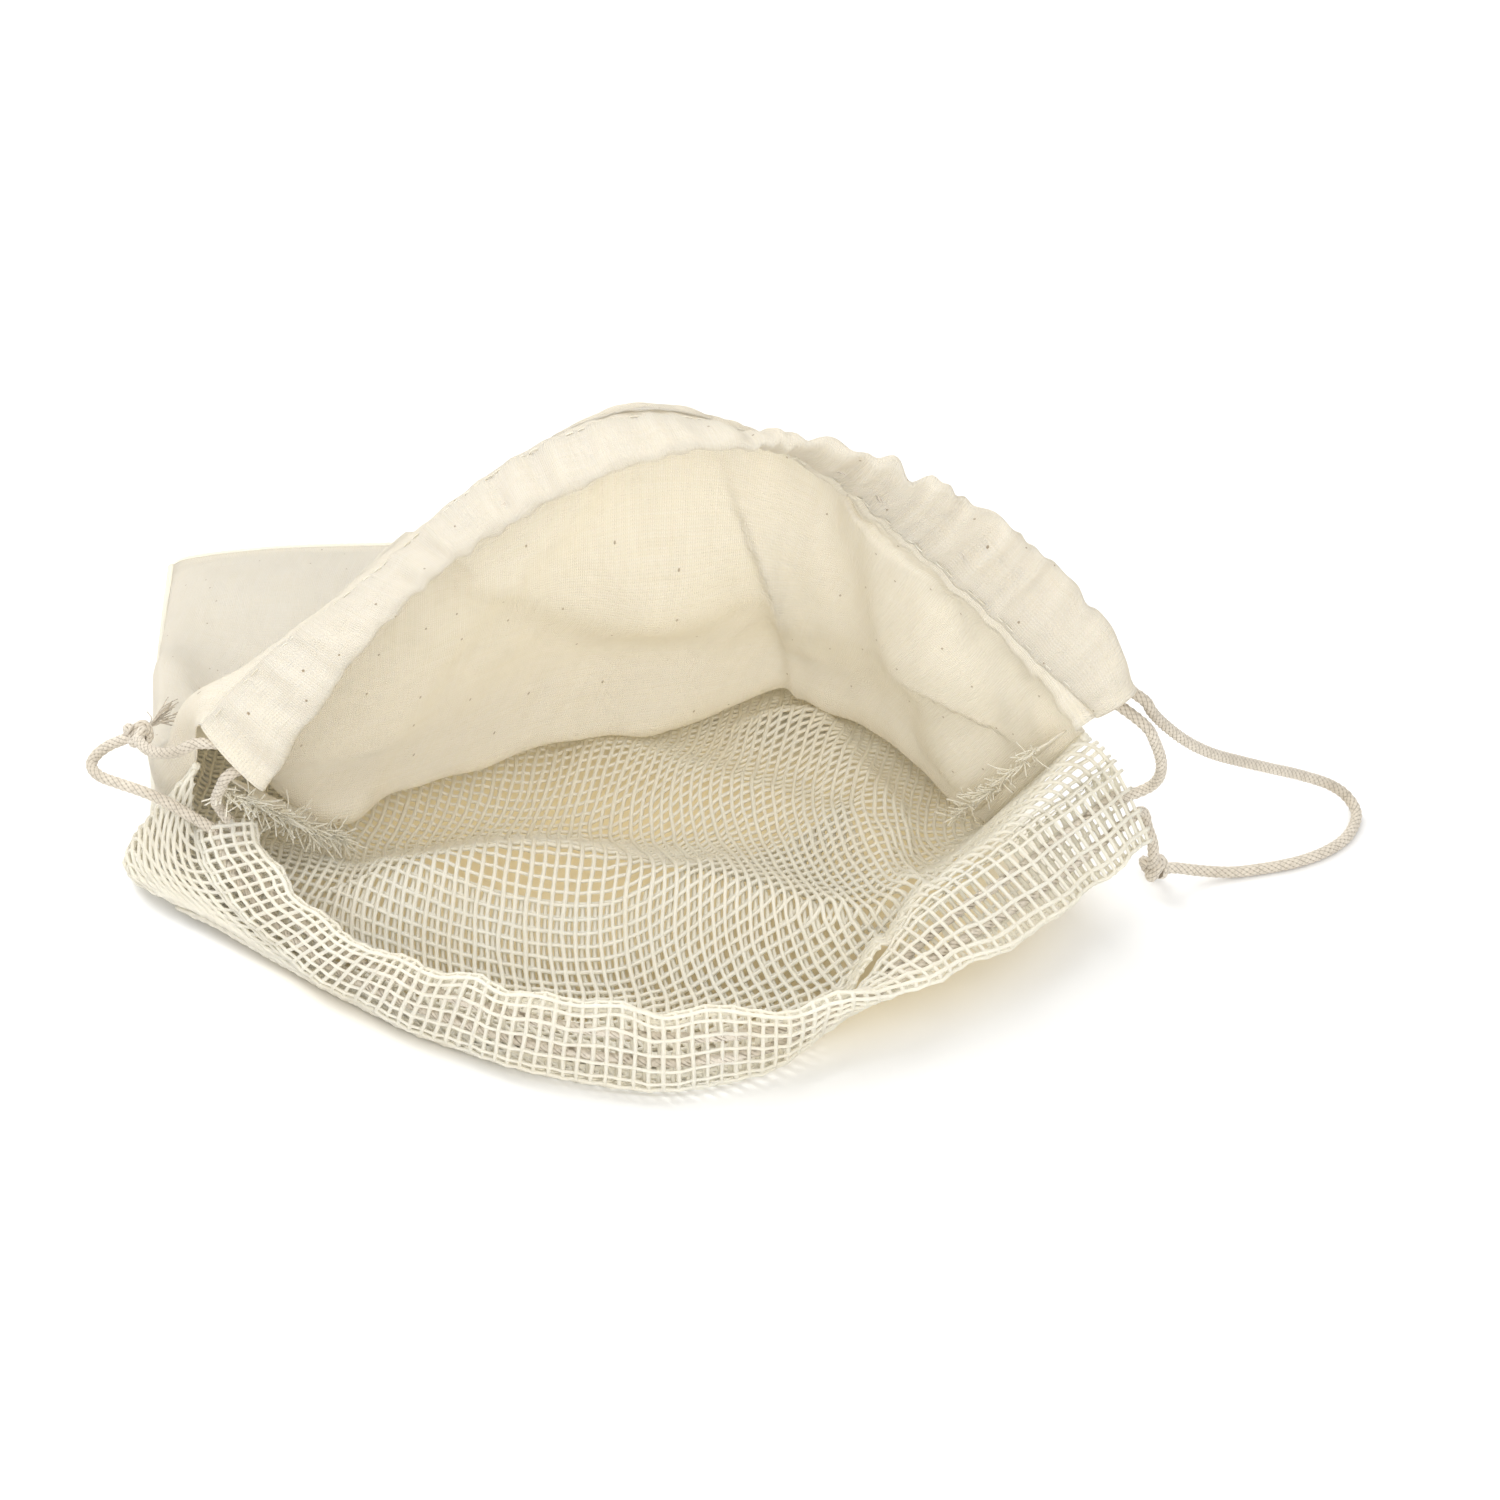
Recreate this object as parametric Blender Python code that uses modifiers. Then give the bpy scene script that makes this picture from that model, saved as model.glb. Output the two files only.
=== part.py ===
"""Mesh produce bag: a cotton panel and an open net panel sewn into a drawstring bag.

The bag lies on a table with its mouth propped open.  The cotton panel arches over the
net panel.  Each panel ends in a hem that is folded over and stitched down, and two
drawcords run through both hems.  One cord leaves at each side as a loop with a knot.

Both panels are lofted through ribs.  A rib runs from the left side seam to the right one
and is a list of points that a smooth curve passes through.  Its points are millimetres:
X from the middle of the mouth, Y back from the front lip, Z up from the table.
"""

import math

import bmesh
import bpy
from mathutils import Vector

NAME = "mesh_produce_bag"
MM = 0.001

# Driving sizes, in millimetres.
FOOTPRINT_CENTRE = Vector((-28.5, 132.5, 0.0))  # moved to the origin
CLOTH_THICKNESS = 1.0
FLOOR_HEIGHT = CLOTH_THICKNESS / 2  # a panel's middle where it lies on the table
HEM_HALF_HEIGHT = 3.3  # a hem is puffed up by the cords inside
HEM_WALL = 0.8
CORD_DIAMETER = 3.0
SEAM_DIAMETER = 2.0
THREAD_DIAMETER = 0.6
SEAM_CLEARANCE = 2.4  # from a side seam's middle to a panel's edge
HEM_CLEARANCE = 0.07  # from a stitch line to a panel's first row, in ribs
BOTTOM_CLEARANCE = 0.06  # from the bottom seam to a panel's last row, in ribs
THREAD_RIB = 1.22  # where the stitches run, in ribs from the mouth
LEFT_CORD_ACROSS = 0.66  # a cord's place across a hem, from its folded edge
RIGHT_CORD_ACROSS = 0.34
STITCH_HEIGHT = 1.7  # from a panel's middle to the middle of its stitches
STITCH_COLUMNS = 60
ALLOWANCE_THICKNESS = 0.8
TASSEL_DIAMETER = 3.6
LONG_SPACING = 4.0  # a tube's spacing between rings, in diameters
SHORT_SPACING = 1.5
PANEL_COLUMNS = 22
PANEL_ROWS = 27
HEM_STATIONS = 29
HEM_SIDES = 12

# Side seams, from where the hems' stitch lines meet to the bottom corners.
LEFT_SEAM = [(-138, 101, 34), (-144, 108, 20), (-149, 116, 12), (-152, 130, 8),
             (-154, 155, 7), (-156, 200, 6), (-157, 248, 4)]
RIGHT_SEAM = [(83, 91, 49), (76, 95, 38), (69, 101, 26), (63, 107, 15),
              (61, 116, 9), (66, 178, 6), (72, 249, 4)]

# The cotton panel: its folded rim, its stitch line, then the roof, the back wall where
# the roof drops to the net, and the flat body behind.
COTTON_RIM = [(-120, 82, 37), (-113, 85, 48), (-103, 89, 62), (-83, 94, 87), (-52, 99, 109),
              (-18, 100, 124), (20, 96, 128), (57, 90, 114), (83, 86, 91), (99, 82, 70)]
COTTON_STITCH = [(-136, 91, 51), (-129, 97, 57), (-118, 103, 66), (-94, 112, 82), (-58, 119, 111),
                 (-23, 120, 123), (14, 113, 114), (44, 94, 97), (70, 85, 74), (81, 80, 57)]
COTTON_INSIDE = [
    [(-141, 107, 48), (-124, 112, 54), (-96, 118, 80), (-61, 122, 107),
     (-26, 122, 124), (9, 118, 114), (40, 100, 99), (65, 90, 75)],
    [(-148, 112, 31), (-127, 120, 47), (-97, 124, 72), (-63, 126, 101),
     (-28, 127, 118), (6, 124, 112), (35, 110, 98), (60, 98, 72)],
    [(-150, 120, 27), (-125, 117, 37), (-93, 126, 48), (-55, 136, 62),
     (-20, 140, 60), (11, 143, 66), (35, 126, 62), (55, 108, 44)],
    [(-150, 136, 26), (-119, 115, 25), (-91, 124, 27), (-52, 144, 36),
     (-18, 150, 38), (12, 152, 40), (34, 134, 38), (52, 113, 25)],
    [(-150, 163, 23), (-112, 118, 13), (-86, 126, 13), (-52, 140, 15),
     (-16, 149, 17), (12, 157, 23), (34, 143, 20), (51, 121, 14)],
    [(-152, 202, 16), (-130, 204, 18), (-92, 204, 16), (-50, 203, 14),
     (-15, 204, 13), (18, 204, 13), (42, 199, 12), (58, 188, 10)],
    [(-151, 252, 7), (-128, 257, 7.5), (-92, 259, 7.5), (-52, 261, 7.5),
     (-15, 262, 7.5), (18, 262, 7.5), (45, 260, 7.5), (62, 256, 7)],
]

# The net panel: its folded lip, its stitch line, the floor in front, the front ridge, the
# dip behind it, the ridge under the back wall, and the flat body behind.
NET_RIM = [(-124, 88, 27), (-117, 69, 24), (-99, 46, 20), (-77, 27, 23), (-45, 11, 25),
           (-11, 7, 24), (21, 11, 24), (54, 31, 22), (77, 57, 20), (100, 86, 22)]
NET_STITCH = [(-139, 98, 19), (-132, 79, 13), (-111, 54, 6), (-84, 31, 4), (-48, 10, 4),
              (-11, 5, 4), (18, 24, 7), (42, 49, 26), (63, 66, 34), (91, 96, 39)]
NET_INSIDE = [
    [(-154, 92, 9), (-122, 66, 3), (-88, 44, 1), (-50, 30, 0),
     (-12, 26, 0), (19, 40, 2), (40, 62, 17), (62, 77, 32)],
    [(-156, 98, 4), (-121, 78, 2), (-91, 60, 1), (-55, 50, 0),
     (-18, 48, 0), (18, 52, 2), (40, 68, 12), (58, 84, 25)],
    [(-152, 104, 2), (-114, 90, 8), (-90, 77, 14), (-68, 77, 19),
     (-44, 77, 20), (-14, 72, 17), (22, 66, 11), (46, 84, 14)],
    [(-148, 118, 2), (-108, 108, 6), (-82, 102, 6), (-58, 103, 8),
     (-30, 105, 10), (0, 104, 11), (25, 98, 9), (46, 101, 7)],
    [(-148, 148, 2), (-104, 134, 5), (-76, 130, 8), (-48, 136, 10),
     (-18, 143, 12), (9, 150, 17), (30, 139, 14), (48, 124, 7)],
    [(-153, 203, 2), (-118, 203, 4), (-84, 203, 5), (-50, 203, 5),
     (-15, 204, 5), (18, 204, 5), (42, 199, 4), (58, 188, 3)],
    [(-151, 252, 2), (-125, 257, 1.5), (-92, 259, 1.5), (-52, 261, 1.5),
     (-15, 262, 1.5), (18, 262, 1.5), (45, 260, 1.5), (62, 256, 2)],
]

# Free cord routes, in the same millimetres.
RIGHT_LOOP = [(96.5, 83.2, 64), (98.5, 84.5, 60), (102, 88, 54), (108, 93, 46), (115, 100, 38),
              (123, 109, 30), (132, 118, 22), (140, 126, 15), (148, 131, 9), (153, 132, 4.5),
              (155, 127, 2.2), (152, 118, 1.6), (146, 111, 1.6), (138, 106, 1.6), (129, 103, 1.6),
              (121, 101, 1.9), (113, 99.5, 3.4), (107, 97.5, 5.5)]
LEFT_LOOP = [(-137, 91, 46.5), (-141, 92.5, 43.5), (-146, 96, 40.5), (-150, 100.5, 38.8),
             (-152.5, 105, 38.4)]
LEFT_RETURN = [(-157, 110.5, 35.5), (-161, 111.5, 33), (-164.2, 110, 31), (-165, 106.5, 30),
               (-162.5, 102.5, 29.6), (-157, 99.5, 29.2), (-151, 97, 28.4), (-145.5, 95.5, 26.4)]
RIGHT_KNOT = (101.5, 94.5, 7.5)
LEFT_KNOT = (-153.2, 109.2, 38)
RIGHT_RISER = [(101, 92.2, 12), (100.5, 91.4, 17), (99, 91, 22), (97.4, 91, 26.5)]
RIGHT_CROSSING = [(96.4, 81, 58.5), (99.5, 83, 52), (101.5, 86, 44), (101, 89.5, 37), (97.5, 91.5, 32.5)]
LEFT_CROSSING = [(-129, 84.6, 41), (-131, 86.5, 36.5), (-132.5, 89.5, 31), (-132, 92.5, 26.5)]
LEFT_TASSEL = [(-149.6, 112.2, 39), (-147.8, 115.2, 39.2), (-145.6, 118, 38.8)]
RIGHT_END = [(101.2, 98, 6.4), (100.5, 101, 4.6), (99.4, 104.5, 3)]
LEFT_KNOT_RADII = (4.0, 3.3, 3.2)
RIGHT_KNOT_RADII = (3.8, 3.0, 3.4)

# The raw seam allowances inside the mouth: the sewn edge, then the raw edge.
LEFT_ALLOWANCE = [[(-130, 97, 33), (-124, 101, 27), (-118, 106, 20), (-112, 110, 14)],
                  [(-123, 93, 29), (-117, 98, 22), (-111, 103, 15), (-105, 107, 10)]]
RIGHT_ALLOWANCE = [[(78, 90, 51), (71, 94.5, 40.5), (64, 100, 28.5), (58, 106, 18)],
                   [(71, 87, 48), (64, 91, 37), (57, 97, 26), (51, 104, 16.5)]]


def place(point):
    """A point in world metres from the bag's own millimetres."""
    return (Vector(point) - FOOTPRINT_CENTRE) * MM


def catmull(points, at):
    """The smooth curve through the points, at a place counted in points."""
    last = len(points) - 1
    i = min(int(at), last - 1)
    f = at - i
    b, c = Vector(points[i]), Vector(points[i + 1])
    a = Vector(points[i - 1]) if i > 0 else 2 * b - c
    d = Vector(points[i + 2]) if i + 2 <= last else 2 * c - b
    return 0.5 * (2 * b + (c - a) * f + (2 * a - 5 * b + 4 * c - d) * f**2
                  + (3 * b - a - 3 * c + d) * f**3)


def closed_ribs(rim, stitch, inside):
    """All the ribs of a panel, with the side seams as the ends of the inside ones."""
    seamed = [[left, *middle, right] for left, middle, right in zip(LEFT_SEAM, inside, RIGHT_SEAM)]
    return [rim, stitch, *seamed]


COTTON_RIBS = closed_ribs(COTTON_RIM, COTTON_STITCH, COTTON_INSIDE)
NET_RIBS = closed_ribs(NET_RIM, NET_STITCH, NET_INSIDE)


def across_rib(ribs, rib, columns):
    """Points across the panel at one place along it, from seam to seam."""
    last = len(ribs[0]) - 1
    row = []
    for k in range(columns):
        at = last * k / (columns - 1)
        row.append(catmull([catmull(r, at) for r in ribs], rib))
    return row


def even_row(row, gap, count):
    """The row's points spread evenly, with a gap left at both ends."""
    lengths = [0.0]
    for a, b in zip(row, row[1:]):
        lengths.append(lengths[-1] + (b - a).length)
    result = []
    for k in range(count):
        want = gap + (lengths[-1] - 2 * gap) * k / (count - 1)
        i = max(j for j in range(len(row) - 1) if lengths[j] <= want)
        share = (want - lengths[i]) / (lengths[i + 1] - lengths[i])
        result.append(row[i].lerp(row[i + 1], share))
    return result


def new_material(name, colour, roughness):
    """A cloth or cord material of one plain colour."""
    material = bpy.data.materials.new(name)
    material.use_nodes = True
    shader = material.node_tree.nodes["Principled BSDF"]
    shader.inputs["Base Color"].default_value = (*colour, 1.0)
    shader.inputs["Roughness"].default_value = roughness
    shader.inputs["Metallic"].default_value = 0.0
    return material


def add_object(name, data, material):
    """Put data into the bag's collection as a named object."""
    obj = bpy.data.objects.new(name, data)
    bpy.data.collections[NAME].objects.link(obj)
    data.materials.append(material)
    return obj


def grid_mesh(name, rows):
    """An open sheet with one vertex for each point of the rows."""
    bm = bmesh.new()
    grid = [[bm.verts.new(place(p)) for p in row] for row in rows]
    for upper, lower in zip(grid, grid[1:]):
        for k in range(len(upper) - 1):
            bm.faces.new((upper[k], lower[k], lower[k + 1], upper[k + 1]))
    mesh = bpy.data.meshes.new(name)
    bm.to_mesh(mesh)
    bm.free()
    mesh.shade_smooth()
    return mesh


def add_sheet(name, rows, material, thickness=CLOTH_THICKNESS):
    """A sheet of cloth with its thickness on both sides of the rows."""
    obj = add_object(name, grid_mesh(name, rows), material)
    solidify = obj.modifiers.new("Thickness", "SOLIDIFY")
    solidify.thickness = thickness * MM
    solidify.offset = 0.0
    return obj


def add_tube(name, points, diameter, material, spacing=2.8):
    """A round cord along a smooth curve through the points."""
    spans = len(points) - 1
    length = sum((Vector(b) - Vector(a)).length for a, b in zip(points, points[1:]))
    count = max(4, round(length / (spacing * diameter)))
    route = even_row([catmull(points, spans * k / 200) for k in range(201)], 0.0, count)
    curve = bpy.data.curves.new(name, "CURVE")
    curve.dimensions = "3D"
    curve.bevel_depth = diameter / 2 * MM
    curve.bevel_resolution = 2
    curve.use_fill_caps = True
    spline = curve.splines.new("POLY")
    spline.points.add(len(route) - 1)
    for spline_point, point in zip(spline.points, route):
        spline_point.co = (*place(point), 1.0)
    return add_object(name, curve, material)


def panel_rows(ribs):
    """Rows of the panel between its hem and the bottom seam, clear of the side seams."""
    first = 1 + HEM_CLEARANCE
    last = len(ribs) - 1 - BOTTOM_CLEARANCE
    rows = []
    for k in range(PANEL_ROWS):
        fine = across_rib(ribs, first + (last - first) * k / (PANEL_ROWS - 1), 3 * PANEL_COLUMNS)
        row = even_row(fine, SEAM_CLEARANCE, PANEL_COLUMNS)
        rows.append([Vector((p.x, p.y, max(p.z, FLOOR_HEIGHT))) for p in row])
    return rows


def hem_frame(ribs, at):
    """The folded edge, the stitched edge and the outward direction of a hem at a place."""
    step = 0.05
    last = len(ribs[0]) - 1
    edge, stitch = catmull(ribs[0], at), catmull(ribs[1], at)
    ahead = catmull(ribs[0], min(at + step, last)) - catmull(ribs[0], max(at - step, 0))
    return edge, stitch, ahead.cross(stitch - edge).normalized()


def hem_ring(bm, ribs, at, inset):
    """One flattened ring of a hem's outer face, or of its inner face when inset."""
    edge, stitch, outward = hem_frame(ribs, at)
    middle, half = (edge + stitch) / 2, (stitch - edge) / 2
    width = half * (1 - inset / half.length)
    height = outward * (HEM_HALF_HEIGHT - inset)
    ring = []
    for k in range(HEM_SIDES):
        turn = 2 * math.pi * k / HEM_SIDES
        point = middle + width * math.cos(turn) + height * math.sin(turn)
        point.z = max(point.z, inset)
        ring.append(bm.verts.new(place(point)))
    return ring


def bridge(bm, first, second):
    """Faces between two rings of the same number of points."""
    count = len(first)
    for k in range(count):
        bm.faces.new((first[k], first[(k + 1) % count], second[(k + 1) % count], second[k]))


def add_hem(name, ribs, material):
    """A hem: a flattened tube of cloth, open at both ends for the cords."""
    bm = bmesh.new()
    last = len(ribs[0]) - 1
    places = [last * k / (HEM_STATIONS - 1) for k in range(HEM_STATIONS)]
    outer = [hem_ring(bm, ribs, at, 0.0) for at in places]
    inner = [hem_ring(bm, ribs, at, HEM_WALL) for at in places]
    for k in range(HEM_STATIONS - 1):
        bridge(bm, outer[k], outer[k + 1])
        bridge(bm, inner[k + 1], inner[k])
    bridge(bm, inner[0], outer[0])
    bridge(bm, outer[-1], inner[-1])
    bmesh.ops.recalc_face_normals(bm, faces=bm.faces)
    mesh = bpy.data.meshes.new(name)
    bm.to_mesh(mesh)
    bm.free()
    mesh.shade_smooth()
    return add_object(name, mesh, material)


def hem_route(ribs, across, start, end, count=28):
    """Points inside a hem, a share across it from the folded edge."""
    route = []
    for k in range(count):
        edge, stitch, _ = hem_frame(ribs, start + (end - start) * k / (count - 1))
        route.append(edge.lerp(stitch, across))
    return route


def add_panels(cotton, net):
    """The two panels and their hems."""
    add_sheet("cotton_panel", panel_rows(COTTON_RIBS), cotton)
    add_sheet("net_panel", panel_rows(NET_RIBS), net)
    add_hem("cotton_hem", COTTON_RIBS, cotton)
    add_hem("net_hem", NET_RIBS, net)


def add_seams(cotton, thread):
    """The side seams, the bottom seam and the raw allowances that show inside."""
    for side, seam in (("left", LEFT_SEAM), ("right", RIGHT_SEAM)):
        corner_kept_free = seam[:-1] + [Vector(seam[-1]).lerp(Vector(seam[-2]), 0.1)]
        add_tube(f"{side}_side_seam", corner_kept_free, SEAM_DIAMETER, cotton, LONG_SPACING)
    bottom = [LEFT_SEAM[-1], *[(p[0], p[1], 4.5) for p in COTTON_INSIDE[-1]], RIGHT_SEAM[-1]]
    add_tube("bottom_seam", bottom, SEAM_DIAMETER, cotton, LONG_SPACING)
    for side, allowance in (("left", LEFT_ALLOWANCE), ("right", RIGHT_ALLOWANCE)):
        add_sheet(f"{side}_seam_allowance", [[Vector(p) for p in edge] for edge in allowance],
                  cotton, ALLOWANCE_THICKNESS)
    for name, ribs in (("cotton_hem_thread", COTTON_RIBS), ("net_hem_thread", NET_RIBS)):
        row = across_rib(ribs, THREAD_RIB, STITCH_COLUMNS)
        past = across_rib(ribs, THREAD_RIB + 0.1, STITCH_COLUMNS)
        route = []
        for k in range(2, STITCH_COLUMNS - 2, 2):
            outward = (row[k + 1] - row[k - 1]).cross(past[k] - row[k]).normalized()
            route.append(row[k] + outward * STITCH_HEIGHT)
        add_tube(name, route, THREAD_DIAMETER, thread, 2 * LONG_SPACING)


def add_cords(cord):
    """Both drawcords: their runs in the hems, their crossings, loops, knots and ends."""
    last = len(COTTON_RIM) - 1
    runs = (("left", LEFT_CORD_ACROSS), ("right", RIGHT_CORD_ACROSS))
    for side, across in runs:
        add_tube(f"{side}_cord_in_cotton_hem", hem_route(COTTON_RIBS, across, 0.12, last - 0.12),
                 CORD_DIAMETER, cord)
        add_tube(f"{side}_cord_in_net_hem", hem_route(NET_RIBS, across, 0.12, last - 0.12),
                 CORD_DIAMETER, cord)
    for name, route in (("left_cord_crossing", RIGHT_CROSSING), ("right_cord_crossing", LEFT_CROSSING),
                        ("right_cord_loop", RIGHT_LOOP), ("right_cord_riser", RIGHT_RISER),
                        ("left_cord_loop", LEFT_LOOP), ("left_cord_return", LEFT_RETURN),
                        ("right_cord_end", RIGHT_END)):
        add_tube(name, route, CORD_DIAMETER, cord, SHORT_SPACING)
    add_tube("left_tassel", LEFT_TASSEL, TASSEL_DIAMETER, cord, SHORT_SPACING)
    add_knot("left_knot", LEFT_KNOT, LEFT_KNOT_RADII, cord)
    add_knot("right_knot", RIGHT_KNOT, RIGHT_KNOT_RADII, cord)


def add_knot(name, middle, radii, material):
    """An overhand knot, kept as a plain rounded lump."""
    bm = bmesh.new()
    bmesh.ops.create_uvsphere(bm, u_segments=14, v_segments=9, radius=1.0)
    for vert in bm.verts:
        vert.co = Vector(a * b * MM for a, b in zip(vert.co, radii)) + place(middle)
    mesh = bpy.data.meshes.new(name)
    bm.to_mesh(mesh)
    bm.free()
    mesh.shade_smooth()
    add_object(name, mesh, material)


def main():
    for obj in list(bpy.data.objects):
        bpy.data.objects.remove(obj)
    bpy.context.scene.collection.children.link(bpy.data.collections.new(NAME))
    cotton = new_material("cotton_muslin", (0.86, 0.83, 0.74), 0.9)
    net = new_material("cotton_net", (0.88, 0.85, 0.76), 0.9)
    cord = new_material("cotton_cord", (0.68, 0.62, 0.52), 0.85)
    thread = new_material("cotton_thread", (0.8, 0.77, 0.7), 0.8)
    add_panels(cotton, net)
    add_seams(cotton, thread)
    add_cords(cord)


main()
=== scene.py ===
"""Looks of the mesh produce bag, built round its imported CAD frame.

The bag is a drawstring bag of plain cotton cloth and open cotton net.  It lies on a table
with its mouth propped open.  Both panels are lofted through the same ribs as the CAD ones,
and then get their gathers, folds, threads and weave.  Sizes are the bag's own millimetres:
X from the middle of the mouth, Y back from the front lip, Z up from the table.
"""

import logging
import math
from dataclasses import dataclass, field
from enum import Enum

import bmesh
import bpy
import numpy as np
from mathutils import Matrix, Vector


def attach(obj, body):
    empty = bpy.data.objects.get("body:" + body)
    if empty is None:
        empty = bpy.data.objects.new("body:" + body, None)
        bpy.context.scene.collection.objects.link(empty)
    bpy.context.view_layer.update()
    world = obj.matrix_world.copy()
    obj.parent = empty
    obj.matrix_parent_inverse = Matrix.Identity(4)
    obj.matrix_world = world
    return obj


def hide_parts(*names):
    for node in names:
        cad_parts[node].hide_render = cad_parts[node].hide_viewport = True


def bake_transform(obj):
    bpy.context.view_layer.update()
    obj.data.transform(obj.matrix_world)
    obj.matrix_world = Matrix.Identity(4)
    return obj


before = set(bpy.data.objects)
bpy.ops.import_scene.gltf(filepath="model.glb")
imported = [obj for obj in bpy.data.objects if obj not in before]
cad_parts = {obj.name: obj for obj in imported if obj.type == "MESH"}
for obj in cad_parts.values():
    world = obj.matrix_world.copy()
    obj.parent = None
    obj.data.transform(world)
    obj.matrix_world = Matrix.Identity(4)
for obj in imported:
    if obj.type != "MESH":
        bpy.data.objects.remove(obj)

LOG = logging.getLogger("mesh_produce_bag")
Array = np.ndarray
MM = 0.001
FOOTPRINT_CENTRE = np.array((-28.5, 132.5, 0.0))

# ---------------------------------------------------------------------------
# The bag's shape, as in the CAD.

LEFT_SEAM = [(-138, 101, 34), (-144, 108, 20), (-149, 116, 12), (-152, 130, 8),
             (-154, 155, 7), (-156, 200, 6), (-157, 248, 4)]
RIGHT_SEAM = [(83, 91, 49), (76, 95, 38), (69, 101, 26), (63, 107, 15),
              (61, 116, 9), (66, 178, 6), (72, 249, 4)]

COTTON_RIM = [(-120, 82, 37), (-113, 85, 48), (-103, 89, 62), (-83, 94, 87), (-52, 99, 109),
              (-18, 100, 124), (20, 96, 128), (57, 90, 114), (83, 86, 91), (99, 82, 70)]
COTTON_STITCH = [(-136, 91, 51), (-129, 97, 57), (-118, 103, 66), (-94, 112, 82), (-58, 119, 111),
                 (-23, 120, 123), (14, 113, 114), (44, 94, 97), (70, 85, 74), (81, 80, 57)]
COTTON_INSIDE = [
    [(-141, 107, 48), (-124, 112, 54), (-96, 118, 80), (-61, 122, 107),
     (-26, 122, 124), (9, 118, 114), (40, 100, 99), (65, 90, 75)],
    [(-148, 112, 31), (-127, 120, 47), (-97, 124, 72), (-63, 126, 101),
     (-28, 127, 118), (6, 124, 112), (35, 110, 98), (60, 98, 72)],
    [(-150, 120, 27), (-125, 117, 37), (-93, 126, 48), (-55, 136, 62),
     (-20, 140, 60), (11, 143, 66), (35, 126, 62), (55, 108, 44)],
    [(-150, 136, 26), (-119, 115, 25), (-91, 124, 27), (-52, 144, 36),
     (-18, 150, 38), (12, 152, 40), (34, 134, 38), (52, 113, 25)],
    [(-150, 163, 23), (-112, 118, 13), (-86, 126, 13), (-52, 140, 15),
     (-16, 149, 17), (12, 157, 23), (34, 143, 20), (51, 121, 14)],
    [(-152, 202, 16), (-130, 204, 18), (-92, 204, 16), (-50, 203, 14),
     (-15, 204, 13), (18, 204, 13), (42, 199, 12), (58, 188, 10)],
    [(-151, 252, 7), (-128, 257, 7.5), (-92, 259, 7.5), (-52, 261, 7.5),
     (-15, 262, 7.5), (18, 262, 7.5), (45, 260, 7.5), (62, 256, 7)],
]

NET_RIM = [(-124, 88, 27), (-117, 69, 24), (-99, 46, 20), (-77, 27, 23), (-45, 11, 25),
           (-11, 7, 24), (21, 11, 24), (54, 31, 22), (77, 57, 20), (100, 86, 22)]
NET_STITCH = [(-139, 98, 19), (-132, 79, 13), (-111, 54, 6), (-84, 31, 4), (-48, 10, 4),
              (-11, 5, 4), (18, 24, 7), (42, 49, 26), (63, 66, 34), (91, 96, 39)]
NET_INSIDE = [
    [(-154, 92, 9), (-122, 66, 3), (-88, 44, 1), (-50, 30, 0),
     (-12, 26, 0), (19, 40, 2), (40, 62, 17), (62, 77, 32)],
    [(-156, 98, 4), (-121, 78, 2), (-91, 60, 1), (-55, 50, 0),
     (-18, 48, 0), (18, 52, 2), (40, 68, 12), (58, 84, 25)],
    [(-152, 104, 2), (-114, 90, 8), (-90, 77, 14), (-68, 77, 19),
     (-44, 77, 20), (-14, 72, 17), (22, 66, 11), (46, 84, 14)],
    [(-148, 118, 2), (-108, 108, 6), (-82, 102, 6), (-58, 103, 8),
     (-30, 105, 10), (0, 104, 11), (25, 98, 9), (46, 101, 7)],
    [(-148, 148, 2), (-104, 134, 5), (-76, 130, 8), (-48, 136, 10),
     (-18, 143, 12), (9, 150, 17), (30, 139, 14), (48, 124, 7)],
    [(-153, 203, 2), (-118, 203, 4), (-84, 203, 5), (-50, 203, 5),
     (-15, 204, 5), (18, 204, 5), (42, 199, 4), (58, 188, 3)],
    [(-151, 252, 2), (-125, 257, 1.5), (-92, 259, 1.5), (-52, 261, 1.5),
     (-15, 262, 1.5), (18, 262, 1.5), (45, 260, 1.5), (62, 256, 2)],
]

RIGHT_LOOP = [(96.5, 83.2, 64), (98.5, 84.5, 60), (102, 88, 54), (108, 93, 46), (115, 100, 38),
              (123, 109, 30), (132, 118, 22), (140, 126, 15), (148, 131, 9), (153, 132, 4.5),
              (155, 127, 2.2), (152, 118, 1.6), (146, 111, 1.6), (138, 106, 1.6), (129, 103, 1.6),
              (121, 101, 1.9), (113, 99.5, 3.4), (107, 97.5, 5.5)]
LEFT_LOOP = [(-137, 91, 46.5), (-141, 92.5, 43.5), (-146, 96, 40.5), (-150, 100.5, 38.8),
             (-152.5, 105, 38.4)]
LEFT_RETURN = [(-157, 110.5, 35.5), (-161, 111.5, 33), (-164.2, 110, 31), (-165, 106.5, 30),
               (-162.5, 102.5, 29.6), (-157, 99.5, 29.2), (-151, 97, 28.4), (-145.5, 95.5, 26.4)]
RIGHT_KNOT = (101.5, 94.5, 7.5)
LEFT_KNOT = (-153.2, 109.2, 38)
RIGHT_RISER = [(101, 92.2, 12), (100.5, 91.4, 17), (99, 91, 22), (97.4, 91, 26.5)]
RIGHT_CROSSING = [(96.4, 81, 58.5), (99.5, 83, 52), (101.5, 86, 44), (101, 89.5, 37), (97.5, 91.5, 32.5)]
LEFT_CROSSING = [(-129, 84.6, 41), (-131, 86.5, 36.5), (-132.5, 89.5, 31), (-132, 92.5, 26.5)]
LEFT_ALLOWANCE = [[(-130, 97, 33), (-124, 101, 27), (-118, 106, 20), (-112, 110, 14)],
                  [(-123, 93, 29), (-117, 98, 22), (-111, 103, 15), (-105, 107, 10)]]
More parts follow.
